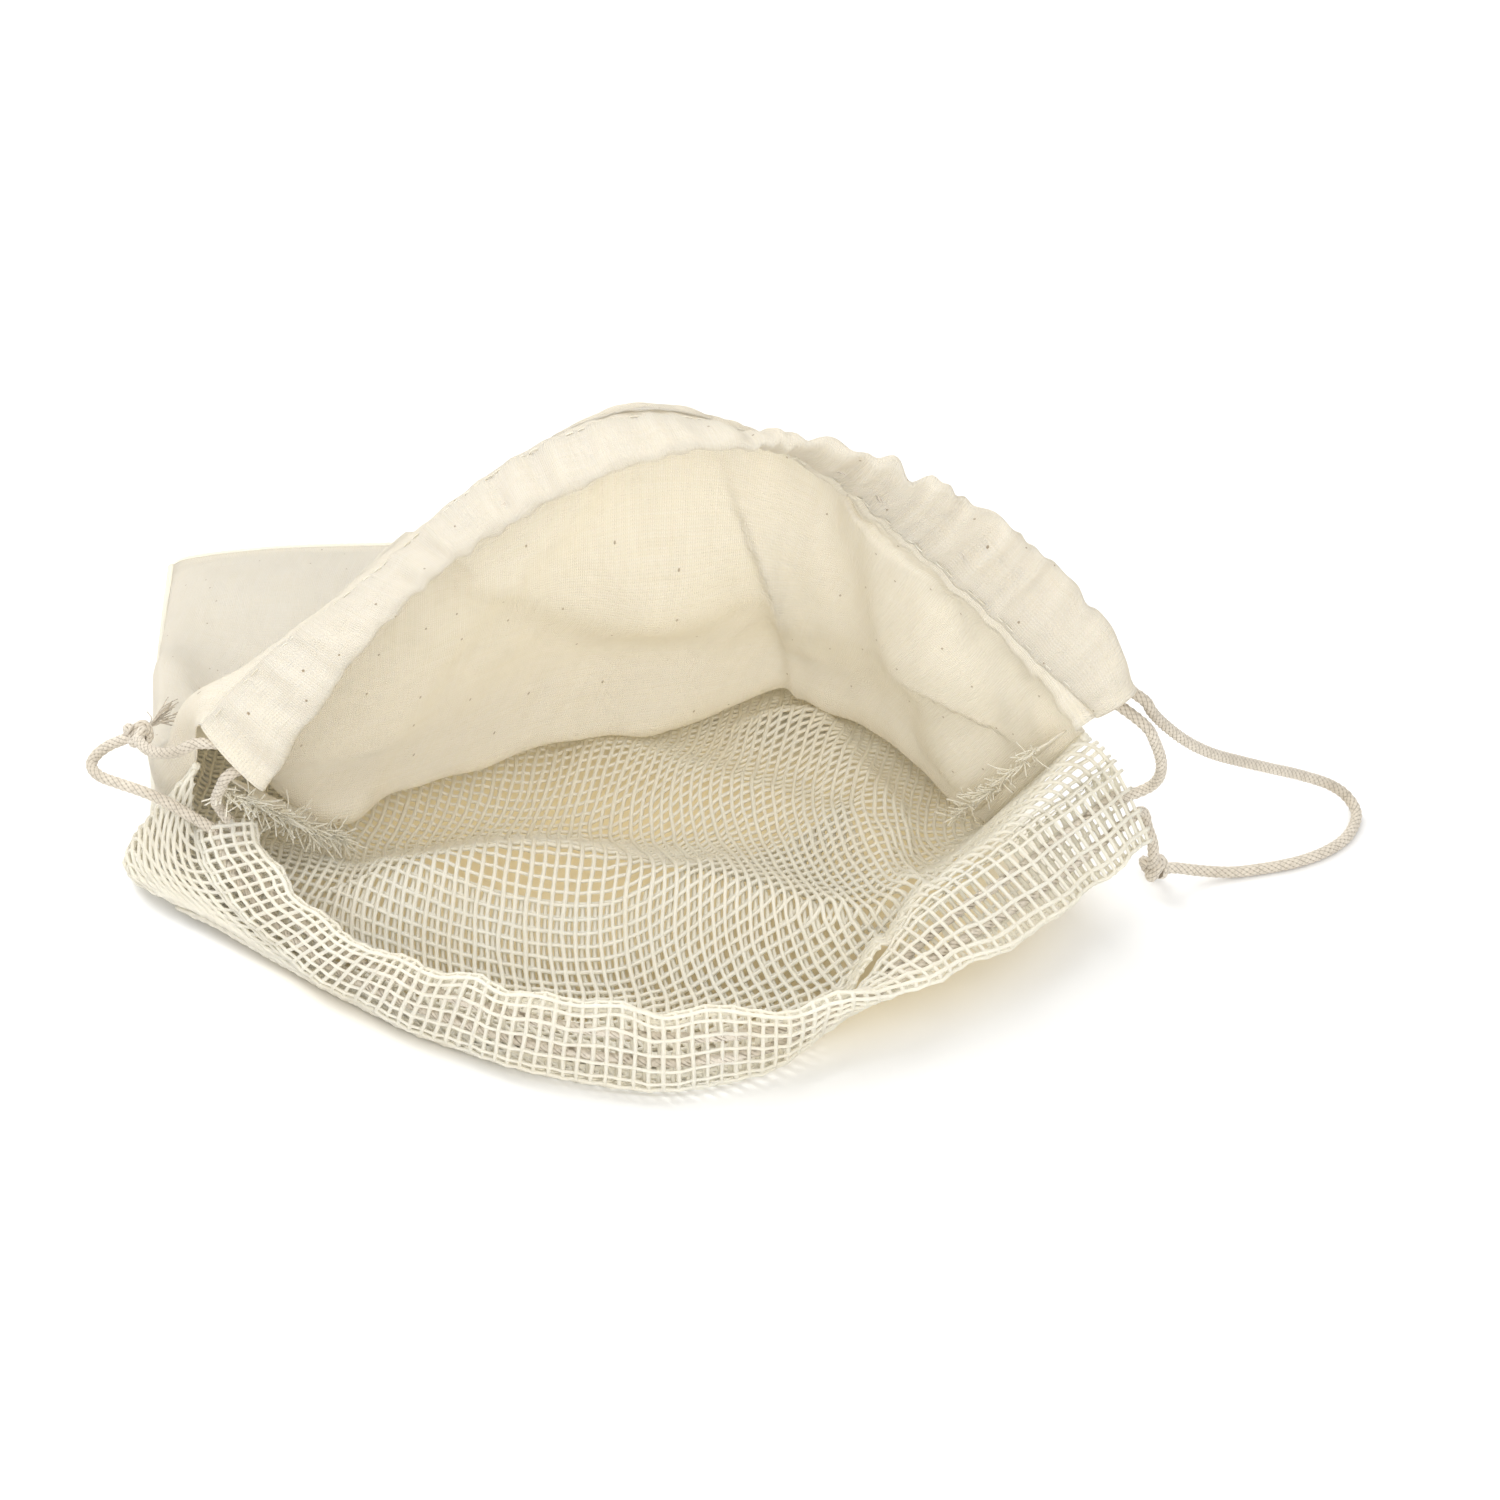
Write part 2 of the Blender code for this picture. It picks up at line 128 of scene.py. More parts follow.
RIGHT_ALLOWANCE = [[(78, 90, 51), (71, 94.5, 40.5), (64, 100, 28.5), (58, 106, 18)],
                   [(71, 87, 48), (64, 91, 37), (57, 97, 26), (51, 104, 16.5)]]
BOTTOM_SEAM_HEIGHT = 4.5
LEFT_FRINGE = [(-131, 90, 34), (-124, 90, 30), (-117, 93, 24), (-110, 98, 17), (-103, 103, 11)]
LEFT_TASSEL = [(-149.6, 112.2, 39), (-147.8, 115.2, 39.2), (-145.6, 118, 38.8)]
RIGHT_END = [(101.2, 98, 6.4), (100.5, 101, 4.6), (99.4, 104.5, 3)]

LEFT_KNOT_RADII = (2.8, 2.4, 2.2)
RIGHT_KNOT_RADII = (2.6, 2.2, 2.4)

HEM_LENGTH = 300.0  # lengths along a hem are counted as if each hem were this long
STRAND_LENGTH = 1.9  # one diamond between a braid's crossing strands
ALL_ROWS = 999  # more rows than any net has


class Body(Enum):
    """The CAD bodies that pieces ride on."""

    BAG = "bag"
    MOUTH = "mouth"
    LEFT_PULL = "left_pull"
    RIGHT_PULL = "right_pull"


class Slot(Enum):
    """The record's material slots."""

    COTTON = "cotton"
    NET = "net"
    CORD = "cord"
    THREAD = "thread"


# ---------------------------------------------------------------------------
# Curves and grids of points.


def smooth_step(low: float, high: float, value: Array) -> Array:
    """A smooth rise from 0 to 1.

    Args:
        low: Where the rise starts.
        high: Where it ends.
        value: Where to read it.

    Returns:
        The rise at each value.
    """
    share = np.clip((value - low) / (high - low), 0.0, 1.0)
    return share * share * (3.0 - 2.0 * share)


def catmull(points: Array, at: Array) -> Array:
    """Points on the smooth curve through a list of points.

    Args:
        points: The points, along the first axis.
        at: Places on the curve, counted in points.

    Returns:
        One point for each place.
    """
    points = np.asarray(points, float)
    at = np.asarray(at, float)
    last = len(points) - 1
    i = np.clip(at.astype(int), 0, last - 1)
    f = (at - i).reshape((-1,) + (1,) * (points.ndim - 1))
    b, c = points[i], points[i + 1]
    a = np.where((i > 0).reshape(f.shape), points[np.maximum(i - 1, 0)], 2 * b - c)
    d = np.where((i + 2 <= last).reshape(f.shape), points[np.minimum(i + 2, last)], 2 * c - b)
    return 0.5 * (2 * b + (c - a) * f + (2 * a - 5 * b + 4 * c - d) * f**2
                  + (3 * b - a - 3 * c + d) * f**3)


def run_lengths(points: Array, axis: int = 0) -> Array:
    """The length run along lines of points.

    Args:
        points: Points, with their coordinates along the last axis.
        axis: The axis that the lines run along.

    Returns:
        The length from each line's first point to each of its points.
    """
    steps = np.linalg.norm(np.diff(points, axis=axis), axis=-1)
    pad = [(0, 0)] * steps.ndim
    pad[axis] = (1, 0)
    return np.pad(np.cumsum(steps, axis=axis), pad)


def unit(vectors: Array) -> Array:
    """The same directions, each with a length of one."""
    return vectors / np.maximum(np.linalg.norm(vectors, axis=-1, keepdims=True), 1e-9)


def between(want: Array, at: Array, points: Array) -> Array:
    """Read points at values between the ones that they are known at.

    Args:
        want: The values to read at.
        at: The value of each known point, rising.
        points: The known points.

    Returns:
        One point for each value.
    """
    return np.stack([np.interp(want, at, points[:, k]) for k in range(3)], axis=-1)


def read_line(line: Array, want: Array) -> Array:
    """Points of a line at given lengths along it.

    Args:
        line: The line's points.
        want: Lengths from its first point.

    Returns:
        One point for each length.
    """
    return between(want, run_lengths(line), line)


def even_route(points: Array, spacing: float) -> Array:
    """Evenly spaced points on the smooth curve through a list of points.

    Args:
        points: The curve's own points.
        spacing: The wanted distance between points.

    Returns:
        The new points, with both ends kept.
    """
    fine = catmull(points, np.linspace(0.0, len(points) - 1, 40 * len(points)))
    length = run_lengths(fine)[-1]
    return read_line(fine, np.linspace(0.0, length, max(3, round(length / spacing) + 1)))


def normals_of(grid: Array) -> Array:
    """The direction square to a grid of points, outwards from the bag.

    Args:
        grid: Rows of points.

    Returns:
        One unit vector for each point.
    """
    return unit(np.cross(np.gradient(grid, axis=1), np.gradient(grid, axis=0)))


def waves(seed: int, places: list[Array], lengths: tuple[float, ...], count: int = 5) -> Array:
    """A soft irregular pattern made of a few crossing waves, from about -1 to 1.

    Args:
        seed: Picks the waves.
        places: One array of millimetres for each direction.
        lengths: The typical wavelength in each direction.
        count: How many waves are summed.

    Returns:
        The pattern at each place.
    """
    rng = np.random.default_rng(seed)
    total = np.zeros_like(np.broadcast_arrays(*places)[0], dtype=float)
    for _ in range(count):
        phase = rng.uniform(0.0, 2.0 * math.pi)
        for place, length in zip(places, lengths):
            phase = phase + place * 2.0 * math.pi / length * rng.uniform(0.6, 1.4) * rng.choice((-1, 1))
        total = total + np.sin(phase)
    return total / math.sqrt(count)


def to_bottom_seam(height: Array, left_to_run: Array, seam_height: float) -> Array:
    """Heights that run smoothly into the bottom seam.

    Args:
        height: The cloth's own heights.
        left_to_run: How far each point is from the cloth's bottom edge.
        seam_height: The height of that edge at the seam.

    Returns:
        The new heights.
    """
    share = 1.0 - smooth_step(0.0, 14.0, left_to_run)
    return height * (1.0 - share) + seam_height * share


@dataclass
class RibbedPanel:
    """A panel and its hem, lofted through ribs.

    Rib 0 is the folded edge of the hem, rib 1 its stitch line, and the others run from the
    left side seam to the right one, down to the bottom seam.
    """

    rim: list
    stitch: list
    inside: list
    seam_gap: float = 0.9
    end_taper: float = 0.0  # how much narrower the hem is at its right end

    def __post_init__(self) -> None:
        """Put the side seams at the ends of the inside ribs."""
        seamed = [[left, *middle, right]
                  for left, middle, right in zip(LEFT_SEAM, self.inside, RIGHT_SEAM)]
        self.ribs = np.array([self.rim, self.stitch, *seamed], float)
        self.last_column = self.ribs.shape[1] - 1
        self.last_rib = self.ribs.shape[0] - 1

    def across(self, places: Array, count: int) -> Array:
        """Rows of evenly spaced points from seam to seam.

        Args:
            places: Where each row lies, counted in ribs.
            count: How many points a row has.

        Returns:
            A grid of points, one row for each place.
        """
        fine = np.linspace(0.0, self.last_column, 200)
        ribs = catmull(self.ribs.swapaxes(0, 1), fine).swapaxes(0, 1)
        rows = catmull(ribs, places)
        result = []
        for row in rows:
            length = run_lengths(row)[-1]
            result.append(read_line(row, np.linspace(self.seam_gap, length - self.seam_gap, count)))
        grid = np.array(result)
        grid[..., 2] = np.maximum(grid[..., 2], 0.5)
        return grid

    def even_places(self, start: float, end: float, count: int) -> Array:
        """Rib places that are evenly far apart on the cloth.

        Args:
            start: The first place.
            end: The last place.
            count: How many places.

        Returns:
            The places.
        """
        fine = np.linspace(start, end, 400)
        lengths = run_lengths(self.across(fine, 24)).mean(axis=1)
        return np.interp(np.linspace(0.0, lengths[-1], count), lengths, fine)

    def hem_columns(self, count: int) -> Array:
        """Places along the hem, in columns, that are even along the stitch line.

        Args:
            count: How many places.

        Returns:
            The places, from the left end to the right one.
        """
        fine = np.linspace(0.0, self.last_column, 400)
        lengths = run_lengths(catmull(self.ribs[1], fine))
        want = np.linspace(self.seam_gap, lengths[-1] - self.seam_gap, count)
        return np.interp(want, lengths, fine)

    def hem_run(self, columns: Array) -> Array:
        """How far along the hem's 300 mm each place lies."""
        fine = np.linspace(0.0, self.last_column, 400)
        lengths = run_lengths(catmull(self.ribs[1], fine))
        return np.interp(columns, fine, lengths) / lengths[-1] * HEM_LENGTH

    def hem_frame(self, columns: Array) -> tuple[Array, Array, Array]:
        """The folded edge, the stitched edge and the outward direction of the hem.

        Args:
            columns: Places along the hem.

        Returns:
            Three arrays, with one point or direction for each place.
        """
        edge, stitch = catmull(self.ribs[0], columns), catmull(self.ribs[1], columns)
        taper = self.end_taper * smooth_step(0.88, 1.0, columns / self.last_column)[..., None]
        edge, stitch = edge + (stitch - edge) * taper * 0.4, stitch + (edge - stitch) * taper * 0.6
        step = 0.05
        ahead = (catmull(self.ribs[0], np.minimum(columns + step, self.last_column))
                 - catmull(self.ribs[0], np.maximum(columns - step, 0.0)))
        outward = np.cross(ahead, stitch - edge)
        return edge, stitch, unit(outward)


# ---------------------------------------------------------------------------
# Meshes.


def place(points: Array) -> Array:
    """World metres from the bag's own millimetres."""
    return (np.asarray(points, float) - FOOTPRINT_CENTRE) * MM


def new_object(name: str, data: bpy.types.ID, material: bpy.types.Material) -> bpy.types.Object:
    """Link data into the scene as a named object with one material.

    Args:
        name: The piece's name.
        data: Its mesh or curve.
        material: Its finish.

    Returns:
        The new object.
    """
    obj = bpy.data.objects.new(name, data)
    bpy.context.scene.collection.objects.link(obj)
    data.materials.clear()
    data.materials.append(material)
    return obj


def cloth_mesh(name: str, grid: Array, uv: Array, rolled: bool = False,
               capped: bool = False, strand: Array | None = None) -> bpy.types.Mesh:
    """A mesh that follows a grid of points.

    Args:
        name: The mesh's name.
        grid: Rows of points, in millimetres.
        uv: The cloth's own flat place for each point, in millimetres.
        rolled: Whether each row closes into a ring; its last point repeats its first.
        capped: Whether the ends of a rolled grid are closed.
        strand: For a braid, how far up a strand each point is, from 0 to 1.

    Returns:
        The mesh, with its flat places as UV map.
    """
    rows, columns = grid.shape[:2]
    bm = bmesh.new()
    bmesh.ops.create_grid(bm, x_segments=columns - 1, y_segments=rows - 1, size=1.0)
    mesh = bpy.data.meshes.new(name)
    bm.to_mesh(mesh)
    bm.free()
    mesh.vertices.foreach_set("co", place(grid).reshape(-1))
    corners = np.zeros(len(mesh.loops), int)
    mesh.loops.foreach_get("vertex_index", corners)
    layer = mesh.uv_layers.new(name="UVMap")
    layer.data.foreach_set("uv", uv.reshape(-1, 2)[corners].astype(np.float32).reshape(-1))
    if strand is not None:
        mesh.attributes.new("strand", "FLOAT", "POINT").data.foreach_set(
            "value", strand.astype(np.float32).reshape(-1))
    if rolled:
        bm = bmesh.new()
        bm.from_mesh(mesh)
        bmesh.ops.remove_doubles(bm, verts=bm.verts, dist=1e-6)
        if capped:
            bmesh.ops.holes_fill(bm, edges=[e for e in bm.edges if e.is_boundary], sides=0)
        bmesh.ops.recalc_face_normals(bm, faces=bm.faces)
        bm.to_mesh(mesh)
        bm.free()
    mesh.shade_smooth()
    mesh.update()
    return mesh


def solidify(obj: bpy.types.Object, thickness: float, offset: float = 0.0) -> None:
    """Give a sheet its thickness in millimetres, on both sides or on one."""
    modifier = obj.modifiers.new("Thickness", "SOLIDIFY")
    modifier.thickness = thickness * MM
    modifier.offset = offset


def yarn_mesh(name: str, yarns: list[tuple[Array, Array]], sides: int = 0) -> bpy.types.Mesh:
    """Many round yarns as one mesh.

    Args:
        name: The mesh's name.
        yarns: For each yarn, its points and its radius at each point, in millimetres.
        sides: The bevel resolution; 0 gives a yarn four sides.

    Returns:
        The mesh of all the yarns.
    """
    curve = bpy.data.curves.new(name + "_lines", "CURVE")
    curve.dimensions = "3D"
    curve.bevel_depth = MM
    curve.bevel_resolution = sides
    curve.use_fill_caps = True
    for points, radii in yarns:
        spline = curve.splines.new("POLY")
        spline.points.add(len(points) - 1)
        co = np.concatenate([place(points), np.ones((len(points), 1))], axis=1)
        spline.points.foreach_set("co", co.reshape(-1).astype(np.float32))
        spline.points.foreach_set("radius", np.broadcast_to(radii, len(points)).astype(np.float32))
    holder = bpy.data.objects.new(name + "_lines", curve)
    bpy.context.scene.collection.objects.link(holder)
    graph = bpy.context.evaluated_depsgraph_get()
    mesh = bpy.data.meshes.new_from_object(holder.evaluated_get(graph))
    bpy.data.objects.remove(holder)
    bpy.data.curves.remove(curve)
    mesh.name = name
    bm = bmesh.new()
    bm.from_mesh(mesh)
    bmesh.ops.remove_doubles(bm, verts=bm.verts, dist=1e-6)
    bm.to_mesh(mesh)
    bm.free()
    mesh.shade_smooth()
    return mesh


def braid_mesh(name: str, route: Array, radius: float, spacing: float = 0.3,
               ring: int = 24) -> bpy.types.Mesh:
    """A braided cord along a route, with the bumps of its crossing strands.

    Args:
        name: The mesh's name.
        route: The middle line's points, in millimetres.
        radius: The cord's radius, to the top of its strands.
        spacing: The distance between rings.
        ring: The number of points round the cord.

    Returns:
        The closed mesh of the cord.
    """
    line = even_route(route, spacing)
    length = run_lengths(line)
    tangent = unit(np.gradient(line, axis=0))
    side = np.cross(tangent[0], (0.0, 0.0, 1.0) if abs(tangent[0][2]) < 0.8 else (1.0, 0.0, 0.0))
    sides = []
    for direction in tangent:
        side = side - direction * side.dot(direction)
        side = side / np.linalg.norm(side)
        sides.append(side)
    side = np.array(sides)
    other = np.cross(tangent, side)
    turn = np.linspace(0.0, 2.0 * math.pi, ring + 1)[None, :]
    run = length[:, None] * math.pi / STRAND_LENGTH
    strands = np.sqrt(np.abs(np.sin(3.0 * turn + run) * np.sin(3.0 * turn - run)))
    reach = radius * (0.78 + 0.24 * strands)
    grid = (line[:, None, :] + side[:, None, :] * (np.cos(turn) * reach)[..., None]
            + other[:, None, :] * (np.sin(turn) * reach)[..., None])
    uv = np.stack(np.broadcast_arrays(turn * radius, length[:, None]), axis=-1)
    return cloth_mesh(name, grid, uv, rolled=True, capped=True, strand=strands)


def dress(obj: bpy.types.Object, nodes: tuple[str, ...], body: Body | None) -> None:
    """Hide the CAD nodes that a piece stands for, and let it ride.

    Args:
        obj: The finished piece.
        nodes: The CAD nodes that it replaces.
        body: The body that it rides on, or None, which bakes its place into its mesh.
    """
    if nodes:
        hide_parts(*nodes)
    if body is None:
        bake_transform(obj)
    else:
        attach(obj, body.value)


# ---------------------------------------------------------------------------
# Finishes.


def linear(hex_colour: str) -> tuple[float, float, float, float]:
    """A linear colour from an sRGB hex value such as "#FFFFFF"."""
    channels = [int(hex_colour[k:k + 2], 16) / 255.0 for k in (1, 3, 5)]
    return (*[c / 12.92 if c <= 0.04045 else ((c + 0.055) / 1.055) ** 2.4 for c in channels], 1.0)


def add_node(tree: bpy.types.NodeTree, kind: str, settings: dict | None = None,
             inputs: dict | None = None) -> bpy.types.Node:
    """Add a node with its settings and its inputs.

    Args:
        tree: The material's node tree.
        kind: The node's type.
        settings: Attributes to set on the node.
        inputs: For each socket, a value or the output that feeds it.

    Returns:
        The new node.
    """
    node = tree.nodes.new(kind)
    for name, value in (settings or {}).items():
        setattr(node, name, value)
    for name, value in (inputs or {}).items():
        if isinstance(value, bpy.types.NodeSocket):
            tree.links.new(value, node.inputs[name])
        else:
            node.inputs[name].default_value = value
    return node


def maths(tree: bpy.types.NodeTree, operation: str, first: object, second: object,
          third: object = 0.0) -> bpy.types.NodeSocket:
    """Add a maths node and return its output.

    Args:
        tree: The material's node tree.
        operation: What the node works out.
        first: Its first value or the output that feeds it.
        second: Its second one.
        third: Its third one, for operations that take three.

    Returns:
        The node's output.
    """
    node = add_node(tree, "ShaderNodeMath", {"operation": operation}, {0: first, 1: second, 2: third})
    return node.outputs[0]


def remap(tree: bpy.types.NodeTree, value: bpy.types.NodeSocket, low: float, high: float,
          to_low: float = 0.0, to_high: float = 1.0, kind: str = "LINEAR") -> bpy.types.NodeSocket:
    """Bring a value from one range to another and return the output.

    Args:
        tree: The material's node tree.
        value: The output to bring over.
        low: Where its range starts.
        high: Where its range ends.
        to_low: What the start becomes.
        to_high: What the end becomes.
        kind: How the node goes from one to the other.

    Returns:
        The node's output.
    """
    node = add_node(tree, "ShaderNodeMapRange", {"interpolation_type": kind},
                    {"Value": value, "From Min": low, "From Max": high, "To Min": to_low, "To Max": to_high})
    return node.outputs[0]


def noise(tree: bpy.types.NodeTree, vector: bpy.types.NodeSocket, scale: float,
          detail: float) -> bpy.types.NodeSocket:
    """Add a noise texture.

    Args:
        tree: The material's node tree.
        vector: The output with the place to read it at.
        scale: How many of its grains fit in a unit.
        detail: How many finer layers it has.

    Returns:
        The output with its value.
    """
    return add_node(tree, "ShaderNodeTexNoise", {},
                    {"Vector": vector, "Scale": scale, "Detail": detail}).outputs["Fac"]


def soft_cotton(tree: bpy.types.NodeTree, face: dict, through: dict, share: float) -> None:
    """Finish a matt cotton material that lets some light through.

    Args:
        tree: The material's node tree.
        face: Inputs of its surface.
        through: Inputs of the light that comes through.
        share: How much light comes through.
    """
    surface = add_node(tree, "ShaderNodeBsdfPrincipled", {},
                       {"Specular IOR Level": 0.2, "Sheen Roughness": 0.6, **face})
    passed = add_node(tree, "ShaderNodeBsdfTranslucent", {}, through)
    mixed = add_node(tree, "ShaderNodeMixShader", {},
                     {0: share, 1: surface.outputs[0], 2: passed.outputs[0]})
    add_node(tree, "ShaderNodeOutputMaterial", {}, {"Surface": mixed.outputs[0]})


def new_material(name: str) -> tuple[bpy.types.Material, bpy.types.NodeTree]:
    """A new material with an empty node tree."""
    material = bpy.data.materials.new(name)
    material.use_nodes = True
    material.node_tree.nodes.clear()
    return material, material.node_tree


def colour_mix(tree: bpy.types.NodeTree, share: object, first: object,
               second: object) -> bpy.types.NodeSocket:
    """Mix two colours.

    Args:
        tree: The material's node tree.
        share: How much of the second colour, as a value or an output.
        first: The first colour or its output.
        second: The second colour or its output.

    Returns:
        The mixed colour's output.
    """
    node = add_node(tree, "ShaderNodeMix", {"data_type": "RGBA", "blend_type": "MIX"},
                    {0: share, 6: first, 7: second})
    return node.outputs[2]


@dataclass(frozen=True)
class Muslin:
    """Unbleached cotton muslin: matt, a little see-through, with dark seed flecks.

    Light that comes through it turns warm, which gives the mouth its yellow depth.
    """

    name: str = "unbleached_muslin"
    light: str = "#FFFEFB"
    warm: str = "#FEFBF4"
    # painted shade: the colour of the weave's low places, between its threads
    dip: str = "#ECE4CE"
    slub: str = "#F5EFDE"
    fleck: str = "#7A5C38"
    through: str = "#FEF6E2"
    thread_mm: float = 0.62  # drawn a little coarser than the real 0.4 mm so that it shows
    fleck_mm: float = 0.32
    fleck_cell_mm: float = 15.0
    see_through: float = 0.45

    def material(self) -> bpy.types.Material:
        """The cloth's material, on its flat places in millimetres."""
        material, tree = new_material(self.name)
        flat = add_node(tree, "ShaderNodeUVMap", {"uv_map": "UVMap"}).outputs["UV"]
        wave_scale = 2.0 * math.pi / 20.0 / self.thread_mm
        threads = [add_node(tree, "ShaderNodeTexWave", {"bands_direction": direction},
                            {"Vector": flat, "Scale": wave_scale, "Distortion": 0.6,
                             "Detail": 1.0, "Detail Scale": 0.3}).outputs["Fac"]
                   for direction in ("X", "Y")]
        weave = maths(tree, "MULTIPLY", *threads)
        slubs = [noise(tree, add_node(tree, "ShaderNodeMapping", {},
                                      {"Vector": flat, "Scale": stretch}).outputs[0], 1.0, 2.0)
                 for stretch in ((0.05, 1.6, 1.0), (1.6, 0.05, 1.0))]
        slub = maths(tree, "ADD", *slubs)
        height = maths(tree, "MULTIPLY_ADD", slub, 0.9, weave)
        bump = add_node(tree, "ShaderNodeBump", {}, {"Strength": 0.8, "Distance": 0.0002,
                                                    "Height": height})
        ground = colour_mix(tree, noise(tree, flat, 0.035, 3.0), linear(self.light), linear(self.warm))
        # Painted shade: the cloth darkens towards the dip colour where the weave is low, between its
        # threads.
        ground = colour_mix(tree, remap(tree, weave, 0.0, 0.5, 0.32, 0.0), ground, linear(self.dip))
        ground = colour_mix(tree, remap(tree, slub, 0.8, 1.25, 0.0, 0.5), ground, linear(self.slub))
        cells = add_node(tree, "ShaderNodeTexVoronoi", {"feature": "F1", "voronoi_dimensions": "2D"},
                         {"Vector": flat, "Scale": 1.0 / self.fleck_cell_mm})
        near = maths(tree, "LESS_THAN", cells.outputs["Distance"], self.fleck_mm / self.fleck_cell_mm)
        picked = add_node(tree, "ShaderNodeSeparateColor", {}, {"Color": cells.outputs["Color"]})
        chosen = maths(tree, "GREATER_THAN", picked.outputs[0], 0.35)
        spot = maths(tree, "MULTIPLY", maths(tree, "MULTIPLY", near, chosen), 0.8)
        colour = colour_mix(tree, spot, ground, linear(self.fleck))
        soft_cotton(tree, {"Base Color": colour, "Roughness": 0.92, "Sheen Weight": 0.15,
                           "Normal": bump.outputs[0]},
                    {"Color": linear(self.through), "Normal": bump.outputs[0]}, self.see_through)
        return material


@dataclass(frozen=True)
class SoftYarn:
    """Soft spun cotton yarn, for the net, the frays and the sewing thread.

    Its loose fibres scatter the light, so it is matt with a slightly uneven surface.
    """

    name: str
    light: str
    shade: str
    fibre_mm: float = 0.5
    see_through: float = 0.42
    bump_mm: float = 0.12
    gap: str | None = None  # the colour of the painted shade between a braid's strands

    def material(self) -> bpy.types.Material:
        """The yarn's material, on the object's own coordinates."""
        material, tree = new_material(self.name)
        own = add_node(tree, "ShaderNodeTexCoord").outputs["Object"]
        fibre = noise(tree, own, 1.0 / (self.fibre_mm * MM), 3.0)
        share = maths(tree, "MULTIPLY", fibre, noise(tree, own, 60.0, 1.0))
        colour = colour_mix(tree, remap(tree, share, 0.1, 0.42), linear(self.shade), linear(self.light))
        # Painted shade: where a braid's strands dip, the colour darkens towards the gap colour.
        if self.gap:
            strand = add_node(tree, "ShaderNodeAttribute", {"attribute_name": "strand"}).outputs["Fac"]
            colour = colour_mix(tree, remap(tree, strand, 0.15, 0.6), linear(self.gap), colour)
        bump = add_node(tree, "ShaderNodeBump", {}, {"Strength": 0.6, "Distance": self.bump_mm * MM,
                                                    "Height": fibre})
        soft_cotton(tree, {"Base Color": colour, "Roughness": 0.9, "Sheen Weight": 0.2,
                           "Normal": bump.outputs[0]},
                    {"Color": linear(self.light)}, self.see_through)
        return material


# ---------------------------------------------------------------------------
# Cotton.


VIEW_TILT = math.radians(32.0)


def seen_height(points: Array) -> Array:
    """How high points look from in front of the mouth, in millimetres."""
    return points[..., 2] * math.cos(VIEW_TILT) + points[..., 1] * math.sin(VIEW_TILT)


@dataclass
class Fold:
    """A soft fold that pushes cloth along its own normal, beside a line.

    The line is in X and seen height, as the fold looks from in front of the mouth.
    """

    line: list
    depth: float
    left_reach: float
    right_reach: float

    def push(self, grid: Array) -> Array:
        """How far each point of a grid is pushed.

        Args:
            grid: Rows of points.

        Returns:
            The push in millimetres, outwards where the depth is positive.
        """
        route = even_route(np.array([(x, h, 0.0) for x, h in self.line]), 1.5)[:, :2]
        ahead = unit(np.gradient(route, axis=0))
        flat = np.stack([grid[..., 0], seen_height(grid)], axis=-1).reshape(-1, 2)
        nearest = np.full(len(flat), 1e9)
        side = np.zeros(len(flat))
        for point, way in zip(route, ahead):
            gap = flat - point
            distance = (gap**2).sum(axis=1)
            closer = distance < nearest
            nearest = np.where(closer, distance, nearest)
            side = np.where(closer, way[1] * gap[:, 0] - way[0] * gap[:, 1], side)
        reach = np.where(side > 0.0, self.right_reach, self.left_reach)
        return (self.depth * np.exp(-nearest / reach**2)).reshape(grid.shape[:2])


@dataclass
class Gathers:
    """The puckers that the drawcords leave in the cotton hem, along its length."""

    seed: int = 7
    height: float = 0.9
    spacing: float = 14.0
    ridge_spacing: float = 7.5

    def wave(self, run: Array) -> Array:
        """The puckers' height at a length along the hem, in millimetres."""
        slow = waves(self.seed, [run], (self.spacing * 2.3,), 3)
        fine = waves(self.seed + 1, [run], (self.spacing,), 4)
        strength = 0.55 + 0.45 * smooth_step(120.0, 260.0, run)
        ridges = 0.75 * np.sin(2.0 * math.pi * run / self.ridge_spacing + 2.0 * slow)
        return (self.height * strength * (0.55 * slow + 0.75 * fine)
                + ridges * (0.3 + 0.7 * smooth_step(130.0, 210.0, run)))

    def lift(self, run: Array, share: Array) -> Array:
        """The puckers' height at a length along the hem and a share across it."""
        return self.wave(run) * (0.55 + 0.45 * (1.0 - share))


